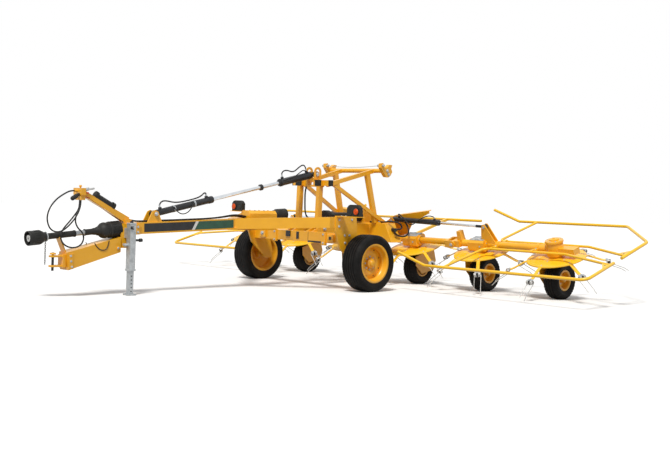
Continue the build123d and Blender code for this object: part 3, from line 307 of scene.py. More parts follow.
class Shape:
    """Gathers simple forms into one mesh with several finishes."""

    def __init__(self):
        self.verts, self.faces, self.tags = [], [], []

    def add(self, verts, faces, finish, place):
        base = len(self.verts)
        self.verts += [place @ Vector(v) for v in verts]
        self.faces += [[base + i for i in face] for face in faces]
        self.tags += [finish] * len(faces)

    def lathe(self, profile, finish, place=Matrix(), sides=48):
        """Turns (radius, height) points about the local Z axis."""
        verts, rings = [], []
        for radius, height in profile:
            if radius < 1e-6:
                rings.append([len(verts)] * sides)
                verts.append((0, 0, height))
            else:
                rings.append(range(len(verts), len(verts) + sides))
                verts += [(x, y, height) for x, y in circle(radius, sides)]
        self.add(verts, bridge(rings), finish, place)

    def rod(self, radius, length, finish, place, sides):
        rim = min(0.15 * radius, 0.3 * length)
        self.lathe([(0, 0), (radius - rim, 0), (radius, rim), (radius, length - rim),
            (radius - rim, length), (0, length)], finish, place, sides)

    def box(self, size, finish, place, edge=0.003):
        """A block about its middle with its edges broken."""
        half = [s / 2 for s in size]
        edge = min([edge] + [0.4 * h for h in half])
        verts, index = [], {}
        for corner in range(8):
            sign = [1 if corner >> axis & 1 else -1 for axis in range(3)]
            for axis in range(3):
                index[corner, axis] = len(verts)
                inset = [0 if a == axis else edge for a in range(3)]
                verts.append([s * (h - e) for s, h, e in zip(sign, half, inset)])
        faces = [[index[corner, axis] for axis in range(3)] for corner in range(8)]
        for axis in range(3):
            u, v = (axis + 1) % 3, (axis + 2) % 3
            for side in (0, 1):
                quad = [side << axis | a << u | b << v for a, b in ((0, 0), (1, 0), (1, 1), (0, 1))]
                faces.append([index[corner, axis] for corner in quad])
            for a in (0, 1):
                for b in (0, 1):
                    low = a << u | b << v
                    high = low | 1 << axis
                    faces.append([index[low, u], index[high, u], index[high, v], index[low, v]])
        self.add(verts, faces, finish, place)

    def sweep(self, points, section, finish, place, side=None):
        """Carries a closed section of (across, upward) points along a line, its ends closed."""
        points = [Vector(p) for p in points]
        along = [(b - a).normalized() for a, b in zip(points, points[1:])]
        aims = [along[0]] + [(a + b).normalized() for a, b in zip(along, along[1:])] + [along[-1]]
        across = Vector(side) if side else aims[0].orthogonal()
        verts, count = [], len(section)
        for point, aim in zip(points, aims):
            across = (across - aim * across.dot(aim)).normalized()
            upward = aim.cross(across)
            verts += [point + u * across + v * upward for u, v in section]
        rings = [range(ring * count, (ring + 1) * count) for ring in range(len(points))]
        self.add(verts, bridge(rings) + [rings[0][::-1], rings[-1]], finish, place)

    def tube(self, points, radius, finish, sides, place=Matrix()):
        self.sweep(points, circle(radius, sides), finish, place)

    def strip(self, points, width, thick, finish, place):
        """A flat bar along a line, its width along the local Y axis, with its corners broken."""
        w, t, edge = width / 2, thick / 2, 0.25 * thick
        self.sweep(points, [(w, -t + edge), (w, t - edge), (w - edge, t), (-w + edge, t), (-w, t - edge),
            (-w, -t + edge), (-w + edge, -t), (w - edge, -t)], finish, place, LEFT)

    def prism(self, outline, thick, finish, place):
        """A flat plate from (x, y) corners, half its thickness to each side."""
        count = len(outline)
        verts = [(x, y, z) for z in (-thick / 2, thick / 2) for x, y in outline]
        low, high = range(count), range(count, 2 * count)
        self.add(verts, [low[::-1], high] + bridge([low, high]), finish, place)

    def spin(self, sections, finish, place=Matrix()):
        """Turns about the local Z axis through (radius, height) sections, one for each step."""
        steps, count = len(sections), len(sections[0])
        verts = []
        for section, (x, y) in zip(sections, circle(1, steps)):
            verts += [(radius * x, radius * y, height) for radius, height in section]
        faces = []
        for step in range(steps):
            here, there = step * count, (step + 1) % steps * count
            faces += [[here + i, there + i, there + i + 1, here + i + 1] for i in range(count - 1)]
        self.add(verts, faces, finish, place)

    def bolt(self, place, size, finish="zinc"):
        """A hexagon head on its washer, standing along the local Z axis."""
        self.rod(1.25 * size, 0.2 * size, finish, place, 16)
        self.lathe([(size, 0.2 * size), (size, 0.75 * size), (0.85 * size, 0.9 * size), (0, 0.9 * size)],
            finish, place, 6)

    def mesh(self, name):
        names = list(dict.fromkeys(self.tags))
        mesh = bpy.data.meshes.new(name)
        mesh.from_pydata([tuple(v) for v in self.verts], [], self.faces)
        for finish in names:
            mesh.materials.append(FINISHES[finish])
        for face, finish in zip(mesh.polygons, self.tags):
            face.material_index = names.index(finish)
            face.use_smooth = True
        work = bmesh.new()
        work.from_mesh(mesh)
        bmesh.ops.recalc_face_normals(work, faces=work.faces)
        work.to_mesh(mesh)
        work.free()
        mesh.set_sharp_from_angle(angle=math.radians(SHARP_ANGLE))
        return mesh

    def build(self, name, body, replaces=()):
        piece = add_piece(name, self.mesh(name), body)
        if replaces:
            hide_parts(*replaces)


def add_piece(name, data, body):
    piece = add_object(name, data)
    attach(piece, body)
    return piece


def moved_copy(mesh, place):
    copy = mesh.copy()
    copy.transform(place)
    return copy


def mirrored(profile):
    return [(radius, -height) for radius, height in reversed(profile)]


# Tyres: tread's share of the width, where the wall is widest, falls of shoulder, edge and crown
TREAD_SHARE, WIDEST, SHOULDER_FALL, EDGE_FALL, CROWN_FALL = 0.82, 0.55, 0.007, 0.002, 0.003
# Steps up a side wall, those that stand out as moulded rings and by how much
WALL_STEPS, RING_STEPS, RING_HEIGHT = 14, (2, 3, 7, 9), 0.0022


def tyre_section(radius, width, rim_radius, bead, grooves, groove_width, groove_depth, shoulder_drop=0.0):
    """(radius, place along the axle) round a tyre from its outer bead over the tread to the inner one."""
    tread = TREAD_SHARE * width / 2
    start, end = Vector((rim_radius, bead)), Vector((radius - SHOULDER_FALL - shoulder_drop, tread))
    mid = Vector((rim_radius + WIDEST * (radius - rim_radius), width / 2))
    pull = 2 * mid - (start + end) / 2
    wall = []
    for step in range(WALL_STEPS + 1):
        t = step / WALL_STEPS
        place = (1 - t) ** 2 * start + 2 * t * (1 - t) * pull + t * t * end
        raised = RING_HEIGHT if step in RING_STEPS else 0.0
        wall.append((place.x, place.y + raised))
    edge = radius - EDGE_FALL - shoulder_drop
    top = [(edge, tread - 0.01)]
    for groove in grooves:
        crown = radius - CROWN_FALL * (groove / tread) ** 2
        half = groove_width / 2
        top += [(crown, groove + half), (crown - groove_depth, groove + 0.6 * half),
            (crown - groove_depth, groove - 0.6 * half), (crown, groove - half)]
    top.append((edge, -tread + 0.01))
    return wall + top + mirrored(wall)


def make_transport_wheels():
    """Ribbed road tyres on dished steel rims with a ring of wheel nuts."""
    bead, lip, nut_circle, nuts = 0.119, 0.134, 0.086, 8
    for name, side in SIDES.items():
        place = shift(AXLE_X, side * WHEEL_Y, WHEEL_RADIUS) @ ACROSS[side]
        tyre = Shape()
        grooves = [0.084, 0.043, 0.0, -0.043, -0.084]
        section = tyre_section(WHEEL_RADIUS, WHEEL_WIDTH, WHEEL_RIM, bead, grooves, 0.012, 0.01)
        tyre.spin([section] * 112, "rubber", place)
        tyre.build("tyre_%s_ribbed" % name, "wheel_" + name, ["tyre_" + name])
        rim = Shape()
        flange = [(0.226, 0.112), (0.233, 0.128), (0.245, lip), (0.258, lip), (0.264, 0.13), (0.263, bead),
            (WHEEL_RIM, bead)]
        well = [(0.223, -0.085), (0.212, -0.07), (0.212, 0.058), (0.223, 0.072)]
        rim.lathe(mirrored(flange) + well + flange + [(WHEEL_RIM, -bead)], "yellow", place, 72)
        rim.lathe([(0.213, 0.008), (0.213, 0.022), (0.2, 0.029), (0.165, 0.036), (0.15, 0.044),
            (0.12, 0.044), (0.11, 0.039), (0.104, 0.029), (0.098, 0.026), (0.07, 0.026), (0.07, 0.012),
            (0.1, 0.012), (0.112, 0.022), (0.122, 0.031), (0.15, 0.031), (0.165, 0.024), (0.2, 0.014),
            (0.213, 0.008)], "yellow", place, 72)
        rim.lathe([(0.0305, -0.06), (0.066, -0.06), (0.07, -0.054), (0.07, 0.06), (0.062, 0.07),
            (0.05, 0.073), (0.048, 0.082), (0.04, 0.094), (0.022, 0.1), (0, 0.101)], "yellow", place, 48)
        for turn in turns(nuts):
            rim.bolt(place @ turn @ shift(nut_circle, 0, 0.026), 0.012)
            # Black discs in the rim's holes: painted shade
            hole = place @ turn @ Matrix.Rotation(math.pi / nuts, 4, "Z")
            rim.rod(0.011, 0.003, "black", hole @ shift(0.182, 0, 0.031), 20)
        rim.rod(0.005, 0.05, "plastic", place @ look((0.216, 0, 0.06), (-0.25, 0, 1)), 12)
        rim.build("rim_%s_dished" % name, "wheel_" + name, ["rim_" + name])


def make_rotor_wheels():
    """Small tyres with cross lugs on dished rims; one mesh of each for all six."""
    lugs, half, free = 34, 0.0756, 0.0696
    plain, worn = (tyre_section(ROTOR_WHEEL_RADIUS, ROTOR_WHEEL_WIDTH, ROTOR_RIM, half - 0.001,
        [0.04, 0.0, -0.04], 0.012, 0.008, drop) for drop in (0.0, 0.008))
    tyre = Shape()
    tyre.spin([section for _ in range(lugs) for section in (plain, plain, worn, worn)], "rubber")
    tyre_mesh = tyre.mesh("rotor_tyre")
    rim = Shape()
    flange = [(0.111, 0.05), (0.114, 0.08), (0.125, 0.0856), (0.135, 0.0856), (0.139, 0.083),
        (0.139, half), (ROTOR_RIM, half)]
    rim.lathe(mirrored(flange) + flange + [(ROTOR_RIM, -half)], "yellow", sides=56)
    rim.lathe([(0.112, -0.008), (0.112, 0.004), (0.098, 0.009), (0.076, 0.022), (0.064, 0.024),
        (0.034, 0.024), (0.034, 0.012), (0.062, 0.012), (0.074, 0.01), (0.096, -0.003), (0.112, -0.008)],
        "yellow", sides=56)
    rim.lathe([(0.0165, -free), (0.031, -free), (0.034, -0.066), (0.034, 0.06), (0.03, free),
        (0.027, 0.078), (0.016, 0.084), (0, 0.085)], "yellow", sides=32)
    for turn in turns(5):
        rim.bolt(turn @ shift(0.05, 0, 0.024), 0.008)
    rim_mesh = rim.mesh("rotor_rim")
    for number, (side, y) in enumerate(zip(PLATE_SIDES, ROTOR_Y), 1):
        hub = ROTOR_FRAME @ Vector((0, y, -WHEEL_DROP))
        place = Matrix.Translation(hub) @ ACROSS[-side]
        for kind, mesh, slot in (("tyre", tyre_mesh, "tyre_rubber"), ("rim", rim_mesh, "yellow_paint")):
            name = "rotor_%s_%d" % (kind, number)
            piece = add_piece(name + "_lugged", moved_copy(mesh, place), "rotor_wheel_%d" % number)
            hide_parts(name)


COIL_REACH, COIL_DROP = 0.652, 0.238
TINE_WIRE, TINE_SPREAD, TINE_KNEE, COIL_MEAN, COIL_TURNS = 0.005, 0.044, 0.78, 0.025, 3
# Each arm's pair of tines: side along the coil, tip's reach from the rotor's axis, tip's drop
TINES = [dict(side=1, reach=0.885, drop=0.402), dict(side=-1, reach=0.845, drop=0.378)]


def make_rotor_mesh():
    """Turned disc, six bent arms and sprung double tines about the local Z axis."""
    rotor = Shape()
    rotor.lathe([(0.027, -0.132), (0.027, -0.092), (0.084, -0.092), (0.09, -0.098), (0.094, -0.104),
        (0.16, -0.106), (0.176, -0.101), (0.2, -0.102), (0.3, -0.107), (0.376, -0.112), (0.386, -0.115),
        (0.39, -0.121), (0.39, -0.131), (0.386, -0.134), (0.384, -0.126), (0.376, -0.12), (0.3, -0.115),
        (0.2, -0.11), (0.1, -0.114), (0.092, -0.132), (0.027, -0.132)], "bright", sides=96)
    arm_line = [(0.185, 0, -0.124), (0.385, 0, -0.13), (0.41, 0, -0.134), (0.432, 0, -0.143),
        (0.548, 0, -0.196), (0.568, 0, -0.204), (0.592, 0, -0.211), (0.652, 0, -0.226)]
    arm_top = (0.24, 0, 1)
    for turn in turns(ROTOR_ARMS):
        rotor.strip(arm_line, 0.046, 0.016, "bright", turn)
        for reach, height in ((0.215, -0.105), (0.355, -0.112)):
            rotor.bolt(turn @ shift(reach, 0, height), 0.009)
        rotor.box((0.075, 0.052, 0.01), "zinc", turn @ look((0.64, 0, -0.212), arm_top))
        rotor.box((0.026, 0.024, 0.06), "black", turn @ look((0.655, 0, -0.24), arm_top))
        rotor.bolt(turn @ look((0.63, 0, -0.206), arm_top), 0.011)
        for row in TINES:
            aim = Vector((row["reach"] - COIL_REACH, -row["drop"] + COIL_DROP)).normalized()
            leave = math.atan2(-aim.x, aim.y)
            line, steps = [], COIL_TURNS * 14
            for step in range(steps + 1):
                angle = leave - 2 * math.pi * COIL_TURNS * (1 - step / steps)
                along = 0.014 + 2.1 * TINE_WIRE * COIL_TURNS * step / steps
                line.append((COIL_REACH + COIL_MEAN * math.cos(angle), row["side"] * along,
                    -COIL_DROP + COIL_MEAN * math.sin(angle)))
            point = Vector((row["reach"], row["side"] * TINE_SPREAD, -row["drop"]))
            bend = Vector(line[-1]).lerp(point, TINE_KNEE)
            line += [bend + Vector((0.004, 0, 0.01)), point]
            rotor.tube(line, TINE_WIRE, "steel", 8, turn)
    return rotor.mesh("rotor_tined")


def make_rotors():
    mesh = make_rotor_mesh()
    for index, y in enumerate(ROTOR_Y):
        number = index + 1
        phase = math.pi / ROTOR_ARMS * (index % 2)
        place = ROTOR_FRAME @ shift(0, y, 0) @ Matrix.Rotation(phase, 4, "Z")
        piece = add_piece("rotor_%d_tined" % number, moved_copy(mesh, place), "rotor_%d" % number)
        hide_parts("rotor_%d" % number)


SHAFT_REAR, SHAFT_FRONT = spot(3.18, 0, 0.785), spot(4.36, 0, 0.675)


def make_drive_guard():
    """Black plastic guard with its two bells, the bright sliding tube and the holding chain."""
    along = SHAFT_FRONT - SHAFT_REAR
    tip = along.length
    place = look(SHAFT_REAR, along)
    guard = Shape()
    guard.lathe([(0, 0), (0.098, 0), (0.1, 0.004), (0.1, 0.018), (0.096, 0.022), (0.096, 0.12),
        (0.1, 0.126), (0.1, 0.14), (0.092, 0.148), (0.092, 0.19), (0.096, 0.196), (0.096, 0.214),
        (0.088, 0.238), (0.07, 0.262), (0.056, 0.272), (0.052, 0.3), (0.044, 0.312), (0.04, 0.35),
        (0.036, 0.362), (0.036, 0.452), (0.04, 0.456), (0.04, 0.466), (0.028, 0.47)], "plastic", place, 56)
    guard.lathe([(0.028, 0.466), (0.03, 0.47), (0.03, 0.59), (0.028, 0.596)], "zinc", place, 12)
    neck = tip - 0.158
    guard.lathe([(0.028, 0.588), (0.04, 0.59), (0.04, 0.604), (0.036, 0.608), (0.036, neck - 0.086),
        (0.046, neck - 0.082), (0.046, neck - 0.062), (0.052, neck - 0.058), (0.052, neck - 0.04),
        (0.06, neck - 0.034), (0.074, neck - 0.006), (0.08, neck + 0.006), (0.081, tip - 0.06),
        (0.084, tip - 0.054), (0.084, tip - 0.004), (0.082, tip), (0.076, tip), (0.076, neck + 0.02),
        (0.03, neck + 0.02)], "plastic", place, 56)
    for turn in turns(16):
        guard.box((0.006, 0.005, 0.08), "plastic", place @ turn @ shift(0.081, 0, neck + 0.052), 0.002)
        guard.box((0.006, 0.006, 0.09), "plastic", place @ turn @ shift(0.097, 0, 0.071), 0.002)
    guard.lathe([(0.044, -0.006), (0.055, -0.006), (0.057, 0), (0.055, 0.006), (0.044, 0.006)], "zinc",
        place @ shift(0, 0, neck - 0.068), 40)
    guard.build("drive_guard_ribbed", "chassis", ["drive_guard"])

    chain, links, pitch = Shape(), 11, 0.024
    hook = SHAFT_REAR + along.normalized() * (neck - 0.06) + Vector((0, 0.01, -0.062))
    oval = [(0.008 * x, 0.016 * y) for x, y in circle(1, 14)]
    oval.append(oval[0])
    for count in range(links):
        middle = hook - Vector((0, 0, count * pitch))
        if count % 2:
            line = [middle + Vector((u, 0, v)) for u, v in oval]
        else:
            line = [middle + Vector((0, u, v)) for u, v in oval]
        chain.tube(line, 0.0028, "black", 6)
    chain.build("guard_chain", "chassis")


DRAWBAR_REAR, DRAWBAR_LENGTH, DRAWBAR_FALL = (1.38, 0.855), 1.76, 0.07
DRAWBAR_SLOPE = Vector((DRAWBAR_LENGTH, 0, -DRAWBAR_FALL)).normalized()


def drawbar_height(x):
    """Height of the drawbar's middle line."""
    return DRAWBAR_REAR[1] - DRAWBAR_FALL * (x - DRAWBAR_REAR[0]) / DRAWBAR_LENGTH


def drawbar_place(x, y):
    """A place on the drawbar whose local X runs forward along it and local Y points up it."""
    upward = Vector((-DRAWBAR_SLOPE.z, 0, DRAWBAR_SLOPE.x))
    turn = Matrix((DRAWBAR_SLOPE, upward, Vector((0, -1, 0)))).transposed().to_4x4()
    return at(x, y, drawbar_height(x)) @ turn


# Bands on both sides of the drawbar: where each starts and ends on its low and its high edge, from the axle
BANDS = [
    dict(finish="black", rear=(2.15, 2.085), front=(2.865, 2.865)),
    dict(finish="white", rear=(2.105, 2.04), front=(2.15, 2.085)),
    dict(finish="green", rear=(1.475, 1.475), front=(2.105, 2.04)),
]
BAND_Y, BAND_THICK = 0.0755, 0.002


def make_bands():
    low, high, base = -0.048, 0.056, 2.0
    for name, side in SIDES.items():
        band = Shape()
        for row in BANDS:
            (rear_low, rear_high), (front_low, front_high) = row["rear"], row["front"]
            corners = zip((rear_low, front_low, front_high, rear_high), (low, low, high, high))
            outline = [(x - base, height) for x, height in corners]
            band.prism(outline, BAND_THICK, row["finish"], drawbar_place(base, side * BAND_Y))
        band.build("drawbar_bands_" + name, "chassis")


def eye_ring(bore, radius):
    """Section of the ring at a rod's end."""
    width, edge = 0.04, 0.002
    return [(bore, 0), (radius - edge, 0), (radius, edge), (radius, width - edge), (radius - edge, width),
        (bore, width), (bore, 0)]


LIFT_BASE, LIFT_EYE = spot(2.69, 0, 0.97), spot(-0.01, 0, 1.56)


def make_lift_cylinder():
    """Bright rod with its collar and the black second cylinder, and fittings on the barrel."""
    place = look(LIFT_BASE, LIFT_EYE - LIFT_BASE)
    stem = Shape()
    stem.lathe([(0, 0.892), (0.022, 0.89), (0.024, 0.894), (0.024, 2.11)], "chrome", place, 32)
    stem.lathe([(0.024, 1.745), (0.036, 1.747), (0.042, 1.753), (0.042, 1.784), (0.036, 1.79),
        (0.024, 1.792)], "black", place, 32)
    stem.lathe([(0.022, 2.092), (0.04, 2.092), (0.044, 2.096), (0.044, 2.112), (0.054, 2.116),
        (0.054, 2.15), (0.05, 2.156), (0.05, 2.64), (0.052, 2.644), (0.052, 2.69), (0.04, 2.7),
        (0.026, 2.712), (0.024, 2.738)], "black", place, 40)
    ring = look(LIFT_EYE - Vector((0, 0.02, 0)), LEFT)
    stem.lathe(eye_ring(0.018, 0.036), "black", ring, 32)
    for reach in (2.17, 2.63):
        stem.box((0.036, 0.036, 0.03), "black", place @ shift(0, 0.056, reach))
        stem.rod(0.011, 0.04, "zinc", place @ look((0, 0.066, reach), LEFT), 6)
    stem.build("lift_rod_dressed", "lift_rod", ["lift_rod"])

    fittings = Shape()
    fittings.lathe([(0.042, 0.862), (0.047, 0.866), (0.047, 0.916), (0.044, 0.9285), (0.0246, 0.9285)],
        "black", place, 40)
    for reach in (0.11, 0.84):
        fittings.box((0.034, 0.03, 0.036), "black", place @ shift(0, 0.048, reach))
        fittings.rod(0.01, 0.036, "zinc", place @ look((0, 0.058, reach), LEFT), 6)
    for reach in (0.3, 0.62):
        fittings.lathe([(0.042, reach), (0.0445, reach + 0.002), (0.0445, reach + 0.022),
            (0.042, reach + 0.024)], "zinc", place, 40)
    fittings.build("lift_barrel_fittings", "lift_barrel")


FOLD_BASE, FOLD_EYE = (0.29, 0.3), (1.96, 0.255)


def make_fold_cylinders():
    """Bright rods that end in black clevises, and fittings on the barrels."""
    for name, side in SIDES.items():
        start, end = (Vector((0, side * y, z)) for y, z in (FOLD_BASE, FOLD_EYE))
        gap = (end - start).length
        place = ROTOR_FRAME @ look(start, end - start)
        stem = Shape()
        stem.lathe([(0, 0.824), (0.018, 0.823), (0.02, 0.827), (0.02, gap - 0.15)], "chrome", place, 28)
        stem.lathe([(0.02, gap - 0.15), (0.02, gap - 0.044), (0.028, gap - 0.042), (0.03, gap - 0.036),
            (0.03, gap - 0.026), (0.019, gap - 0.02)], "black", place, 28)
        ring = ROTOR_FRAME @ look(end - Vector((0.02, 0, 0)), FORE)
        stem.lathe(eye_ring(0.0162, 0.034), "black", ring, 28)
        stem.rod(0.016, 0.044, "zinc", ROTOR_FRAME @ look(end - Vector((0.022, 0, 0)), FORE), 24)
        stem.build("fold_rod_%s_dressed" % name, "fold_rod_" + name, ["fold_rod_" + name])
        fittings = Shape()
        fittings.lathe([(0.038, 0.8), (0.043, 0.804), (0.043, 0.85), (0.04, 0.8615), (0.0206, 0.8615)],
            "black", place, 36)
        upward = (ROTOR_FRAME.inverted() @ place).to_3x3().inverted() @ Vector(UP)
        upward = Vector((upward.x, upward.y, 0)).normalized()
        for reach in (0.1, 0.78):
            port = place @ look(upward * 0.03 + Vector((0, 0, reach)), upward)
            fittings.box((0.03, 0.03, 0.036), "black", port @ shift(0, 0, 0.012))
            fittings.rod(0.009, 0.026, "zinc", port @ shift(0, 0, 0.028), 6)
        fittings.build("fold_barrel_%s_fittings" % name, "fold_barrel_" + name)


GEARBOX_TOP, DRUM_TOP, HINGE_Y, GUARD_REACH = 0.075, 0.12, 1.4, 1.052
# Wheel legs' clamps on a wing, outward of its inner gearbox and inward of its outer one
INNER_CLAMP, OUTER_CLAMP = 0.32, 0.25


def gearbox_lid(shape, y):
    """Grey cover plate with its round cap and screws, side plugs and the flanges to the beam."""
    top = ROTOR_FRAME @ shift(0, y, GEARBOX_TOP)
    shape.box((0.158, 0.236, 0.008), "zinc", top @ shift(0, 0, 0.004), 0.002)
    shape.lathe([(0, 0.0185), (0.06, 0.0185), (0.064, 0.016), (0.064, 0.004)], "zinc", top, 40)
    for u in (-0.066, 0.066):
        for v in (-0.104, 0, 0.104):
            shape.bolt(top @ shift(u, v, 0.008), 0.007)
    for turn in turns(6):
        shape.bolt(top @ turn @ shift(0.05, 0, 0.018), 0.005)
    for way in BOTH:
        face = ROTOR_FRAME @ look((way * 0.11, y + 0.07, -0.004), (way, 0, 0))
        shape.bolt(face, 0.011)
        shape.bolt(face @ shift(0, -0.14, 0), 0.011)
        flange = ROTOR_FRAME @ look((0, y + way * 0.133, 0), (0, way, 0))
        shape.lathe([(0.052, 0), (0.074, 0), (0.076, 0.003), (0.076, 0.016), (0.068, 0.02), (0.052, 0.02)],
            "yellow", flange, 36)
        for turn in turns(6, 0.5):
            shape.bolt(flange @ turn @ shift(0.063, 0, 0.019), 0.006)


def drum_lid(shape, y):
    """Flange and screws on the round gear housing at a wing's end."""
    top = ROTOR_FRAME @ shift(0, y, DRUM_TOP)
    shape.lathe([(0.11, -0.03), (0.12, -0.028), (0.122, -0.024), (0.122, -0.012), (0.118, 0.004),
        (0.062, 0.006)], "yellow", top, 48)
    shape.lathe([(0, 0.024), (0.054, 0.024), (0.064, 0.018), (0.064, 0.004)], "yellow", top, 40)
    for turn in turns(8):
        shape.bolt(top @ turn @ shift(0.094, 0, 0.004), 0.008)
    shape.bolt(top @ shift(0, 0, 0.024), 0.014, "yellow")


def make_beam_trim():
    """Lids, clamps and pins on the rotor beams."""
    centre = Shape()
    for y in ROTOR_Y[2:4]:
        gearbox_lid(centre, y)
    for side in BOTH:
        for way in BOTH:
            centre.bolt(ROTOR_FRAME @ look((way * 0.115, side * HINGE_Y, 0), (way, 0, 0)), 0.02)
            centre.bolt(ROTOR_FRAME @ look((way * 0.074, side * FOLD_BASE[0], FOLD_BASE[1]), (way, 0, 0)),
                0.016)
        for reach in (0.1, 0.2, 0.3):
            centre.bolt(ROTOR_FRAME @ look((-0.054, side * reach, 0.075), FORE), 0.009)
    centre.build("centre_beam_trim", "lift_frame")
    for name, side in SIDES.items():
        wing = Shape()
        inner, outer = side * ROTOR_Y[1], side * ROTOR_Y[0]
        gearbox_lid(wing, inner)
        drum_lid(wing, outer)
        for y in (inner + side * INNER_CLAMP, outer - side * OUTER_CLAMP):
            for way in BOTH:
                for reach in (0.072, 0.14):
                    wing.bolt(ROTOR_FRAME @ look((way * reach, y, 0.012), UP), 0.009)
                wing.strip([(way * 0.186, y, -0.012), (way * 0.192, y, 0.008), (way * 0.182, y, 0.022),
                    (way * 0.16, y, 0.022), (way * 0.12, y, 0.014)], 0.04, 0.006, "bright", ROTOR_FRAME)
            wing.lathe([(0.049, -0.022), (0.056, -0.022), (0.056, 0.022), (0.049, 0.022)], "yellow",
                ROTOR_FRAME @ look((0, y, 0), LEFT), 40)
        for way in BOTH:
            wing.bolt(ROTOR_FRAME @ look((way * 0.041, side * FOLD_EYE[0], FOLD_EYE[1]), (way, 0, 0)),
                0.016)
        edge = outer + side * GUARD_REACH
        for x in (0.47, 0.02):
            wing.rod(0.013, 0.014, "black", ROTOR_FRAME @ look((x, edge - side * 0.055, -0.007), UP), 20)
        wing.build("wing_%s_trim" % name, "wing_" + name)


# Bolts of each body: the way they face, head size, places from the axle; both sides have them
BOLTS = dict(
    chassis=[
        dict(face=LEFT, size=0.013, at=[(2.965, 0.093, 0.812), (2.965, 0.093, 0.748), (3.16, 0.093, 0.6),
            (3.12, 0.093, 0.69)]),
        dict(face=LEFT, size=0.014, at=[(3.868, 0.095, 0.478), (3.862, 0.095, 0.415), (3.85, 0.095, 0.352),
            (3.24, 0.095, 0.56)]),
        dict(face=LEFT, size=0.022, at=[(2.69, 0.07, 0.97), (0.0, 0.271, 0.8)]),
        dict(face=LEFT, size=0.014, at=[(0.37, 0.928, 0.95), (0.37, 0.928, 0.86), (0.13, 0.928, 0.95),
            (0.25, 0.928, 0.64), (0.17, 0.928, 0.74), (0.14, 0.928, 0.64), (0.26, 0.928, 0.74)]),
        dict(face=UP, size=0.01, at=[(0.78, 0.05, 1.035), (1.1, 0.05, 1.035), (0.94, 0.05, 1.035)]),
        dict(face=UP, size=0.009, at=[(0.4, 1.0, 1.0), (0.32, 1.0, 1.0)]),
    ],
    lift_frame=[
        dict(face=UP, size=0.01, at=[(-0.013, 0.178, 0.891), (-0.013, 0.222, 0.891)]),
        dict(face=UP, size=0.01, at=[(-1.145, 0.306, 0.906), (-1.145, 0.404, 0.906), (-0.975, 0.306, 0.906),
            (-0.975, 0.404, 0.906)]),
        dict(face=LEFT, size=0.026, at=[(-0.01, 0.074, 1.56)]),
        dict(face=LEFT, size=0.02, at=[(-0.9, 0.6, 1.65), (-0.93, 0.6, 1.6)]),
        dict(face=UP, size=0.01, at=[(-1.01, 0.06, 1.074), (-1.11, 0.06, 1.074)]),
    ],
)


def make_bolts():
    for body, rows in BOLTS.items():
        shape = Shape()
        for row in rows:
            ahead, across, upward = row["face"]
            for x, y, z in row["at"]:
                for side in BOTH:
                    shape.bolt(look(spot(x, side * y, z), (ahead, side * across, upward)), row["size"])
        shape.build(body + "_bolts", body)


def make_tower_trim():
    """Black plugs on the tower's tube ends, pins in its hooks and the arched ears of the lift cylinder."""
    trim = Shape()
    leg = 0.11
    outer, inner = (circle(radius, 24)[:13] for radius in (0.068, 0.036))
    arch = [(outer[0][0], -leg), *outer, (outer[-1][0], -leg), (inner[-1][0], -leg), *inner[::-1],
        (inner[0][0], -leg)]
    upright = Matrix((FORE, UP, (0, -1, 0))).transposed().to_4x4()
    for side in BOTH:
        trim.box((0.084, 0.016, 0.084), "plastic", at(0.005, side * 0.372, 1.44), 0.006)
        trim.box((0.062, 0.012, 0.062), "plastic", at(0.005, side * 0.38, 1.44), 0.004)
        trim.box((0.012, 0.126, 0.084), "plastic", at(0.086, side * 0.2, 1.44), 0.005)
        trim.box((0.008, 0.1, 0.06), "plastic", at(0.092, side * 0.2, 1.44), 0.003)
        trim.rod(0.018, 0.13, "zinc", look(spot(-0.8, side * 0.505, 1.72), (0, side, 0)), 20)
        trim.prism(arch, 0.012, "yellow", at(-0.01, side * 0.086, 1.598) @ upright)
        trim.box((0.06, 0.07, 0.05), "black", at(-1.065, side * 0.62, 0.8), 0.006)
    trim.build("tower_trim", "lift_frame")


# Brackets, clamps and seams on the cross beam's front face, with black blocks of painted shade in its slots
# and along its underside: middle across, middle height, size
BEAM_FRONT_X = 0.28
BEAM_BITS = [
    dict(y=-0.445, z=0.68, size=(0.04, 0.066, 0.17), finish="yellow"),
    dict(y=0.555, z=0.676, size=(0.04, 0.08, 0.18), finish="yellow"),
    dict(y=-0.7, z=0.696, size=(0.06, 0.12, 0.11), finish="yellow"),
    dict(y=0.7, z=0.69, size=(0.06, 0.12, 0.1), finish="yellow"),
    # Painted shade: these two black blocks are the dark inside the slots of the beam's face
    dict(y=-0.169, z=0.716, size=(0.03, 0.09, 0.08), finish="black"),
    dict(y=0.024, z=0.7, size=(0.016, 0.052, 0.1), finish="black"),
    dict(y=0.236, z=0.69, size=(0.004, 0.006, 0.134), finish="black"),
    dict(y=0.7, z=0.69, size=(0.064, 0.052, 0.048), finish="black"),
    # Painted shade: a black strip for the shade along the beam's underside
    dict(y=0.38, z=0.628, size=(0.024, 0.27, 0.022), finish="black"),
]


def make_beam_front():
    trim = Shape()
    for row in BEAM_BITS:
        trim.box(row["size"], row["finish"], at(BEAM_FRONT_X, row["y"], row["z"]), 0.004)
    trim.bolt(look(spot(BEAM_FRONT_X + 0.029, -0.7, 0.7), FORE), 0.022)
    for y in (-0.445, 0.555):
        for z in (0.62, 0.735):
            trim.bolt(look(spot(BEAM_FRONT_X + 0.019, y, z), FORE), 0.012)
    trim.build("beam_front_trim", "chassis")


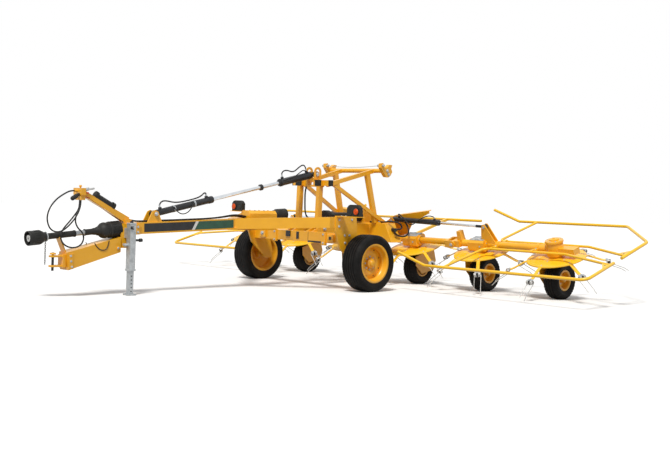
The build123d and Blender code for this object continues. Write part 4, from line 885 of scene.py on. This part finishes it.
def make_jack_trim():
    """Top cap, crank socket and pin on the jack, and the hole row of its leg as black discs of painted
    shade.
    """
    x, y = 3.118, 0.185
    trim = Shape()
    trim.box((0.088, 0.088, 0.02), "zinc", at(x, y, 0.854), 0.004)
    trim.rod(0.02, 0.024, "black", look(spot(x, y, 0.862), UP), 20)
    crank = look(spot(x + 0.02, y + 0.04, 0.805), LEFT)
    trim.rod(0.02, 0.03, "black", crank, 20)
    trim.rod(0.01, 0.055, "zinc", crank, 6)
    for way in BOTH:
        trim.box((0.094, 0.007, 0.024), "zinc", at(x, y + way * 0.0425, 0.304), 0.002)
        trim.box((0.007, 0.094, 0.024), "zinc", at(x + way * 0.0425, y, 0.304), 0.002)
    trim.rod(0.014, 0.103, "black", look(spot(x - 0.037, y - 0.01, 0.655), (-1, 0, 0)), 20)
    trim.rod(0.022, 0.04, "black", look(spot(x - 0.12, y - 0.01, 0.655), (-1, 0, 0)), 20)
    trim.rod(0.018, 0.053, "zinc", look(spot(x + 0.037, y - 0.01, 0.6), FORE), 20)
    trim.build("jack_trim", "chassis")
    leg = Shape()
    # Black discs for the leg's holes: painted shade
    for count in range(5):
        for way in BOTH:
            leg.rod(0.009, 0.002, "black", look(spot(x, y + way * 0.0292, 0.05 + 0.045 * count),
                (0, way, 0)), 20)
    for way in BOTH:
        leg.box((0.116, 0.01, 0.022), "zinc", at(x, y + way * 0.052, 0.011), 0.003)
    leg.build("jack_leg_trim", "jack_leg")


def make_holder_trim():
    """Couplers and plugs on the hose holder's head, caps on the document tube."""
    trim = Shape()
    backward = (-0.95, 0, 0.18)
    for y in (-0.06, 0.055):
        trim.rod(0.016, 0.05, "zinc", look(spot(3.69, y, 1.235), backward), 20)
        trim.rod(0.011, 0.09, "steel", look(spot(3.65, y, 1.243), backward), 16)
    trim.rod(0.01, 0.024, "red", look(spot(3.672, 0.088, 1.205), LEFT), 16)
    trim.box((0.06, 0.006, 0.016), "red", look(spot(3.64, 0.033, 1.15), LEFT))
    trim.lathe([(0, 0.038), (0.012, 0.036), (0.017, 0.028), (0.017, 0.018), (0.009, 0.01), (0.008, 0)],
        "yellow", look(spot(3.735, 0.04, 1.258), UP), 24)
    trim.lathe([(0, 0), (0.014, 0), (0.018, 0.006), (0.018, 0.04), (0.026, 0.046), (0.026, 0.12),
        (0.02, 0.13), (0.012, 0.134), (0, 0.134)], "plastic",
        look(spot(3.745, 0.04, 1.19), (0.8, 0.16, -0.42)), 24)
    along = Vector((0.65, 0, 0.36)).normalized()
    normal = Vector((-along.z, 0, along.x))
    foot = spot(3.08, 0, drawbar_height(3.08) + 0.09)
    start = foot + along * 0.24 + normal * 0.061
    middle = foot + along * 0.33
    basis = Matrix((along, normal, Vector((0, -1, 0)))).transposed().to_4x4()
    for side in BOTH:
        trim.prism([(-0.33, -0.034), (-0.33, 0.052), (0.08, 0.03), (0.4, 0.022), (0.4, -0.022)], 0.006,
            "yellow", Matrix.Translation(middle + Vector((0, side * 0.033, 0))) @ basis)
    for reach, way in ((0.0, -1), (0.29, 1)):
        trim.lathe([(0.046, -0.034), (0.047, -0.03), (0.047, 0.002), (0.043, 0.008), (0, 0.01)], "plastic",
            look(start + along * reach, way * along), 36)
    trim.build("holder_trim", "chassis")


def make_hitch_trim():
    """Hitch pin in the clevis and the raised front edge of the tongue's side plates."""
    trim = Shape()
    trim.rod(0.0145, 0.21, "black", look(spot(4.04, 0, 0.305), UP), 24)
    trim.lathe([(0, 0.022), (0.03, 0.018), (0.036, 0.008), (0.036, 0)], "yellow",
        look(spot(4.04, 0, 0.492), UP), 32)
    for side in BOTH:
        trim.box((0.06, 0.01, 0.18), "yellow", at(3.862, side * 0.0985, 0.415))
        trim.box((0.036, 0.012, 0.036), "yellow", at(3.24, side * 0.098, 0.56))
    trim.build("hitch_trim", "chassis")


def make_lamps():
    """Ribbed amber lenses in black bezels, before and behind each lamp."""
    lens, housing = Shape(), Shape()
    x, y, z, half = 0.36, 1.261, 1.065, 0.032
    for side in BOTH:
        for way in BOTH:
            place = look(spot(x + way * half, side * y, z), (way, 0, 0))
            lens.lathe([(0.041, 0), (0.041, 0.012), (0.036, 0.017), (0.034, 0.0155), (0.028, 0.0185),
                (0.026, 0.017), (0.019, 0.0198), (0.017, 0.0182), (0.009, 0.0206), (0, 0.021)], "amber",
                place, 48)
            lens.lathe([(0.046, 0), (0.0475, 0.004), (0.0475, 0.01), (0.045, 0.012), (0.041, 0.012),
                (0.041, 0.006)], "plastic", place, 48)
            place = look(spot(x + way * half, side * (y - 0.115), z - 0.005), (way, 0, 0))
            housing.lathe([(0, 0.003), (0.036, 0.003), (0.04, 0.006), (0.043, 0.006), (0.045, 0)],
                "plastic", place, 36)
        housing.box((0.03, 0.15, 0.006), "plastic", at(x, side * 1.2, 1.152), 0.002)
    lens.build("lamp_lenses_ribbed", "chassis", ["lamp_lenses"])
    housing.build("lamp_housing_trim", "chassis")


CLAMP_LOW = 1.12
HOSE_RADIUS = 0.009
# Free hoses at the hitch: (forward of the axle, y, z) along each route
HOSES = dict(
    hose_long=dict(far_end="object", length=1.27, route=[(3.728, 0.045, CLAMP_LOW), (3.728, 0.045, 1.062),
        (3.756, 0.058, 0.99), (3.806, 0.077, 0.92), (3.866, 0.09, 0.856), (3.932, 0.095, 0.797),
        (4.006, 0.095, 0.754), (4.076, 0.09, 0.753), (4.128, 0.08, 0.786), (4.154, 0.07, 0.845),
        (4.161, 0.06, 0.915), (4.139, 0.05, 0.99), (4.093, 0.04, 1.064), (4.021, 0.03, 1.134),
        (3.928, 0.014, 1.187), (3.842, 0, 1.226), (3.79, 0, 1.226)]),
    hose_short=dict(far_end="object", length=1.462, route=[(3.716, 0.012, CLAMP_LOW),
        (3.716, 0.012, 1.062), (3.748, 0.026, 0.998), (3.786, 0.044, 0.933), (3.8, 0.058, 0.864),
        (3.77, 0.066, 0.796), (3.705, 0.066, 0.746), (3.684, 0.066, 0.675), (3.712, 0.066, 0.607),
        (3.778, 0.066, 0.571), (3.866, 0.066, 0.57), (3.944, 0.066, 0.606), (3.986, 0.066, 0.672),
        (3.981, 0.06, 0.742), (3.931, 0.044, 0.802), (3.85, 0.014, 0.866), (3.778, -0.014, 0.932),
        (3.718, -0.026, 0.998), (3.7, -0.028, 1.062), (3.7, -0.028, CLAMP_LOW)]),
)


def add_curve(name, body, points, radius, finish):
    """A round line through a smooth curve of control points."""
    curve = bpy.data.curves.new(name, "CURVE")
    curve.dimensions = "3D"
    spline = curve.splines.new("NURBS")
    spline.points.add(len(points) - 1)
    for point, place in zip(spline.points, points):
        point.co = (*place, 1)
    spline.order_u = 3
    spline.use_endpoint_u = True
    curve.resolution_u = 8
    curve.bevel_depth = radius
    curve.bevel_resolution = 3
    curve.use_fill_caps = True
    curve.materials.append(FINISHES[finish])
    return add_piece(name, curve, body)


def make_hoses():
    for name, row in HOSES.items():
        route = [spot(*place) for place in row["route"]]
        hose = add_curve(name + "_line", "chassis", route, HOSE_RADIUS, "hose")
        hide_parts(name)


LIFT_AIM = (LIFT_EYE - LIFT_BASE).normalized()
LIFT_TOP = Vector((LIFT_AIM.z, 0, -LIFT_AIM.x))


def on_lift(reach, y, height):
    return LIFT_BASE + reach * LIFT_AIM + Vector((0, y, 0)) + height * LIFT_TOP


def on_side(side):
    return lambda x, y, z: spot(x, side * y, z)


def on_fold(side):
    start, end = (Vector((0, side * y, z)) for y, z in (FOLD_BASE, FOLD_EYE))
    aim = (end - start).normalized()
    return lambda reach, x, height: ROTOR_FRAME @ (start + reach * aim + Vector((x, 0, height)))


# Hoses and pipes clipped to the machine; each place is given in the frame that its row names
CLIPPED = [
    dict(name="drawbar_hose_left", body="chassis", radius=0.011, frame=spot, route=[(3.06, 0.02, 0.9),
        (2.98, 0.02, 0.874), (2.69, 0.018, 0.885), (2.2, 0.03, 0.904), (1.9, 0.034, 0.917),
        (1.65, 0.03, 0.94), (1.45, 0.026, 0.972), (1.31, 0.02, 0.968), (1.21, 0.014, 0.948)]),
    dict(name="drawbar_hose_right", body="chassis", radius=0.011, frame=spot, route=[(3.06, -0.016, 0.896),
        (2.98, -0.016, 0.874), (2.69, -0.014, 0.885), (2.2, 0.004, 0.904), (1.9, 0.004, 0.917),
        (1.64, 0.0, 0.934), (1.45, -0.006, 0.958), (1.31, -0.014, 0.954), (1.21, -0.02, 0.936)]),
    dict(name="lift_barrel_hose", body="lift_barrel", radius=0.009, frame=on_lift,
        route=[(0.11, 0.0, 0.085), (0.13, 0.0, 0.125), (0.2, 0.01, 0.13), (0.34, 0.02, 0.07),
        (0.56, 0.02, 0.062), (0.74, 0.014, 0.07), (0.83, 0.004, 0.12), (0.842, 0.0, 0.088)]),
    dict(name="lift_barrel_drop", body="lift_barrel", radius=0.007, frame=on_lift,
        route=[(0.3, 0.036, 0.03), (0.31, 0.05, -0.02), (0.38, 0.054, -0.085), (0.48, 0.054, -0.085),
        (0.57, 0.05, -0.02), (0.6, 0.036, 0.03)]),
    dict(name="second_barrel_loop", body="lift_rod", radius=0.009, frame=on_lift,
        route=[(2.17, 0.0, 0.095), (2.17, 0.0, 0.135), (2.24, 0.02, 0.16), (2.36, 0.03, 0.1),
        (2.47, 0.03, 0.15), (2.56, 0.02, 0.175), (2.625, 0.0, 0.145), (2.63, 0.0, 0.095)]),
    dict(name="second_barrel_pipe", body="lift_rod", radius=0.007, frame=on_lift,
        route=[(2.15, 0.05, 0.02), (2.21, 0.062, 0.04), (2.33, 0.062, 0.036), (2.45, 0.06, 0.08),
        (2.56, 0.04, 0.11), (2.64, 0.03, 0.05)]),
    dict(name="tower_hose", body="lift_frame", radius=0.011, frame=spot, route=[(0.01, -0.11, 1.4),
        (0.02, -0.13, 1.34), (0.01, -0.14, 1.18), (0.0, -0.14, 1.0), (-0.06, -0.135, 0.93),
        (-0.2, -0.135, 0.905), (-0.45, -0.135, 0.89), (-0.7, -0.13, 0.884)]),
]
for side_name, side_sign in SIDES.items():
    CLIPPED += [
        dict(name="fold_hose_" + side_name, body="lift_frame", radius=0.012, frame=on_side(side_sign),
            route=[(-1.0, 0.2, 0.902), (-1.0, 0.45, 0.904), (-1.02, 0.6, 0.925), (-1.14, 0.67, 0.905),
            (-1.19, 0.67, 0.815), (-1.03, 0.67, 0.805), (-1.02, 0.67, 0.745), (-1.22, 0.67, 0.69),
            (-1.37, 0.65, 0.755), (-1.42, 0.56, 0.87), (-1.45, 0.46, 0.93), (-1.47, 0.4, 0.95)]),
        dict(name="fold_barrel_hose_" + side_name, body="fold_barrel_" + side_name, radius=0.008,
            frame=on_fold(side_sign), route=[(0.1, 0.0, 0.078), (0.12, 0.02, 0.105), (0.22, 0.05, 0.06),
            (0.31, 0.06, -0.03), (0.39, 0.06, -0.05), (0.48, 0.054, 0.01), (0.62, 0.04, 0.085),
            (0.74, 0.02, 0.11), (0.78, 0.0, 0.078)]),
    ]


def make_clipped_hoses():
    for row in CLIPPED:
        add_curve(row["name"], row["body"], [row["frame"](*place) for place in row["route"]],
            row["radius"], "hose")


ROPE_RADIUS, ROPE_LENGTH = 0.004, 1.13
ROPE_ROUTE = [(-0.8, -0.56, 1.722), (-0.8, -0.28, 1.7), (-0.8, 0.0, 1.693), (-0.8, 0.28, 1.7),
    (-0.8, 0.56, 1.722)]


def make_rope():
    route = [spot(*place) for place in ROPE_ROUTE]
    rope = add_curve("hook_rope", "lift_frame", route, ROPE_RADIUS, "rope")


GRIP_Y, GRIP_WIRE = 0.099, 0.005
GRIP_ROUTE = [(3.56, 0.62), (3.52, 0.56), (3.44, 0.53), (3.38, 0.56), (3.366, 0.65)]


def make_grips():
    """A bent wire on each side of the tongue."""
    for name, side in SIDES.items():
        add_curve("tongue_grip_" + name, "chassis", [spot(x, side * GRIP_Y, z) for x, z in GRIP_ROUTE],
            GRIP_WIRE, "black")


WELD_REACH, BEVEL_WIDTH, BEVEL_STEPS, BEVEL_ANGLE = 0.0001, 0.004, 2, 40


def finish_cad():
    """Gives every shown solid its finish and softens its sharp edges."""
    slots = {row["node"]: row["material_slot"] for row in frame["record"]["subparts"]}
    for name, node in nodes.items():
        node.data.materials.clear()
        finish = "bright" if name in BRIGHT_NODES else SLOT_FINISH[slots[name]]
        node.data.materials.append(FINISHES[finish])
        weld = node.modifiers.new("weld", "WELD")
        weld.merge_threshold = WELD_REACH
        bevel = node.modifiers.new("bevel", "BEVEL")
        bevel.width, bevel.segments = BEVEL_WIDTH, BEVEL_STEPS
        bevel.limit_method, bevel.angle_limit = "ANGLE", math.radians(BEVEL_ANGLE)


place_camera()
light_stage()
finish_cad()
make_hoses()
make_rope()
make_clipped_hoses()
make_grips()
make_transport_wheels()
make_rotor_wheels()
make_rotors()
make_drive_guard()
make_bands()
make_lift_cylinder()
make_fold_cylinders()
make_beam_trim()
make_bolts()
make_tower_trim()
make_beam_front()
make_jack_trim()
make_holder_trim()
make_hitch_trim()
make_lamps()
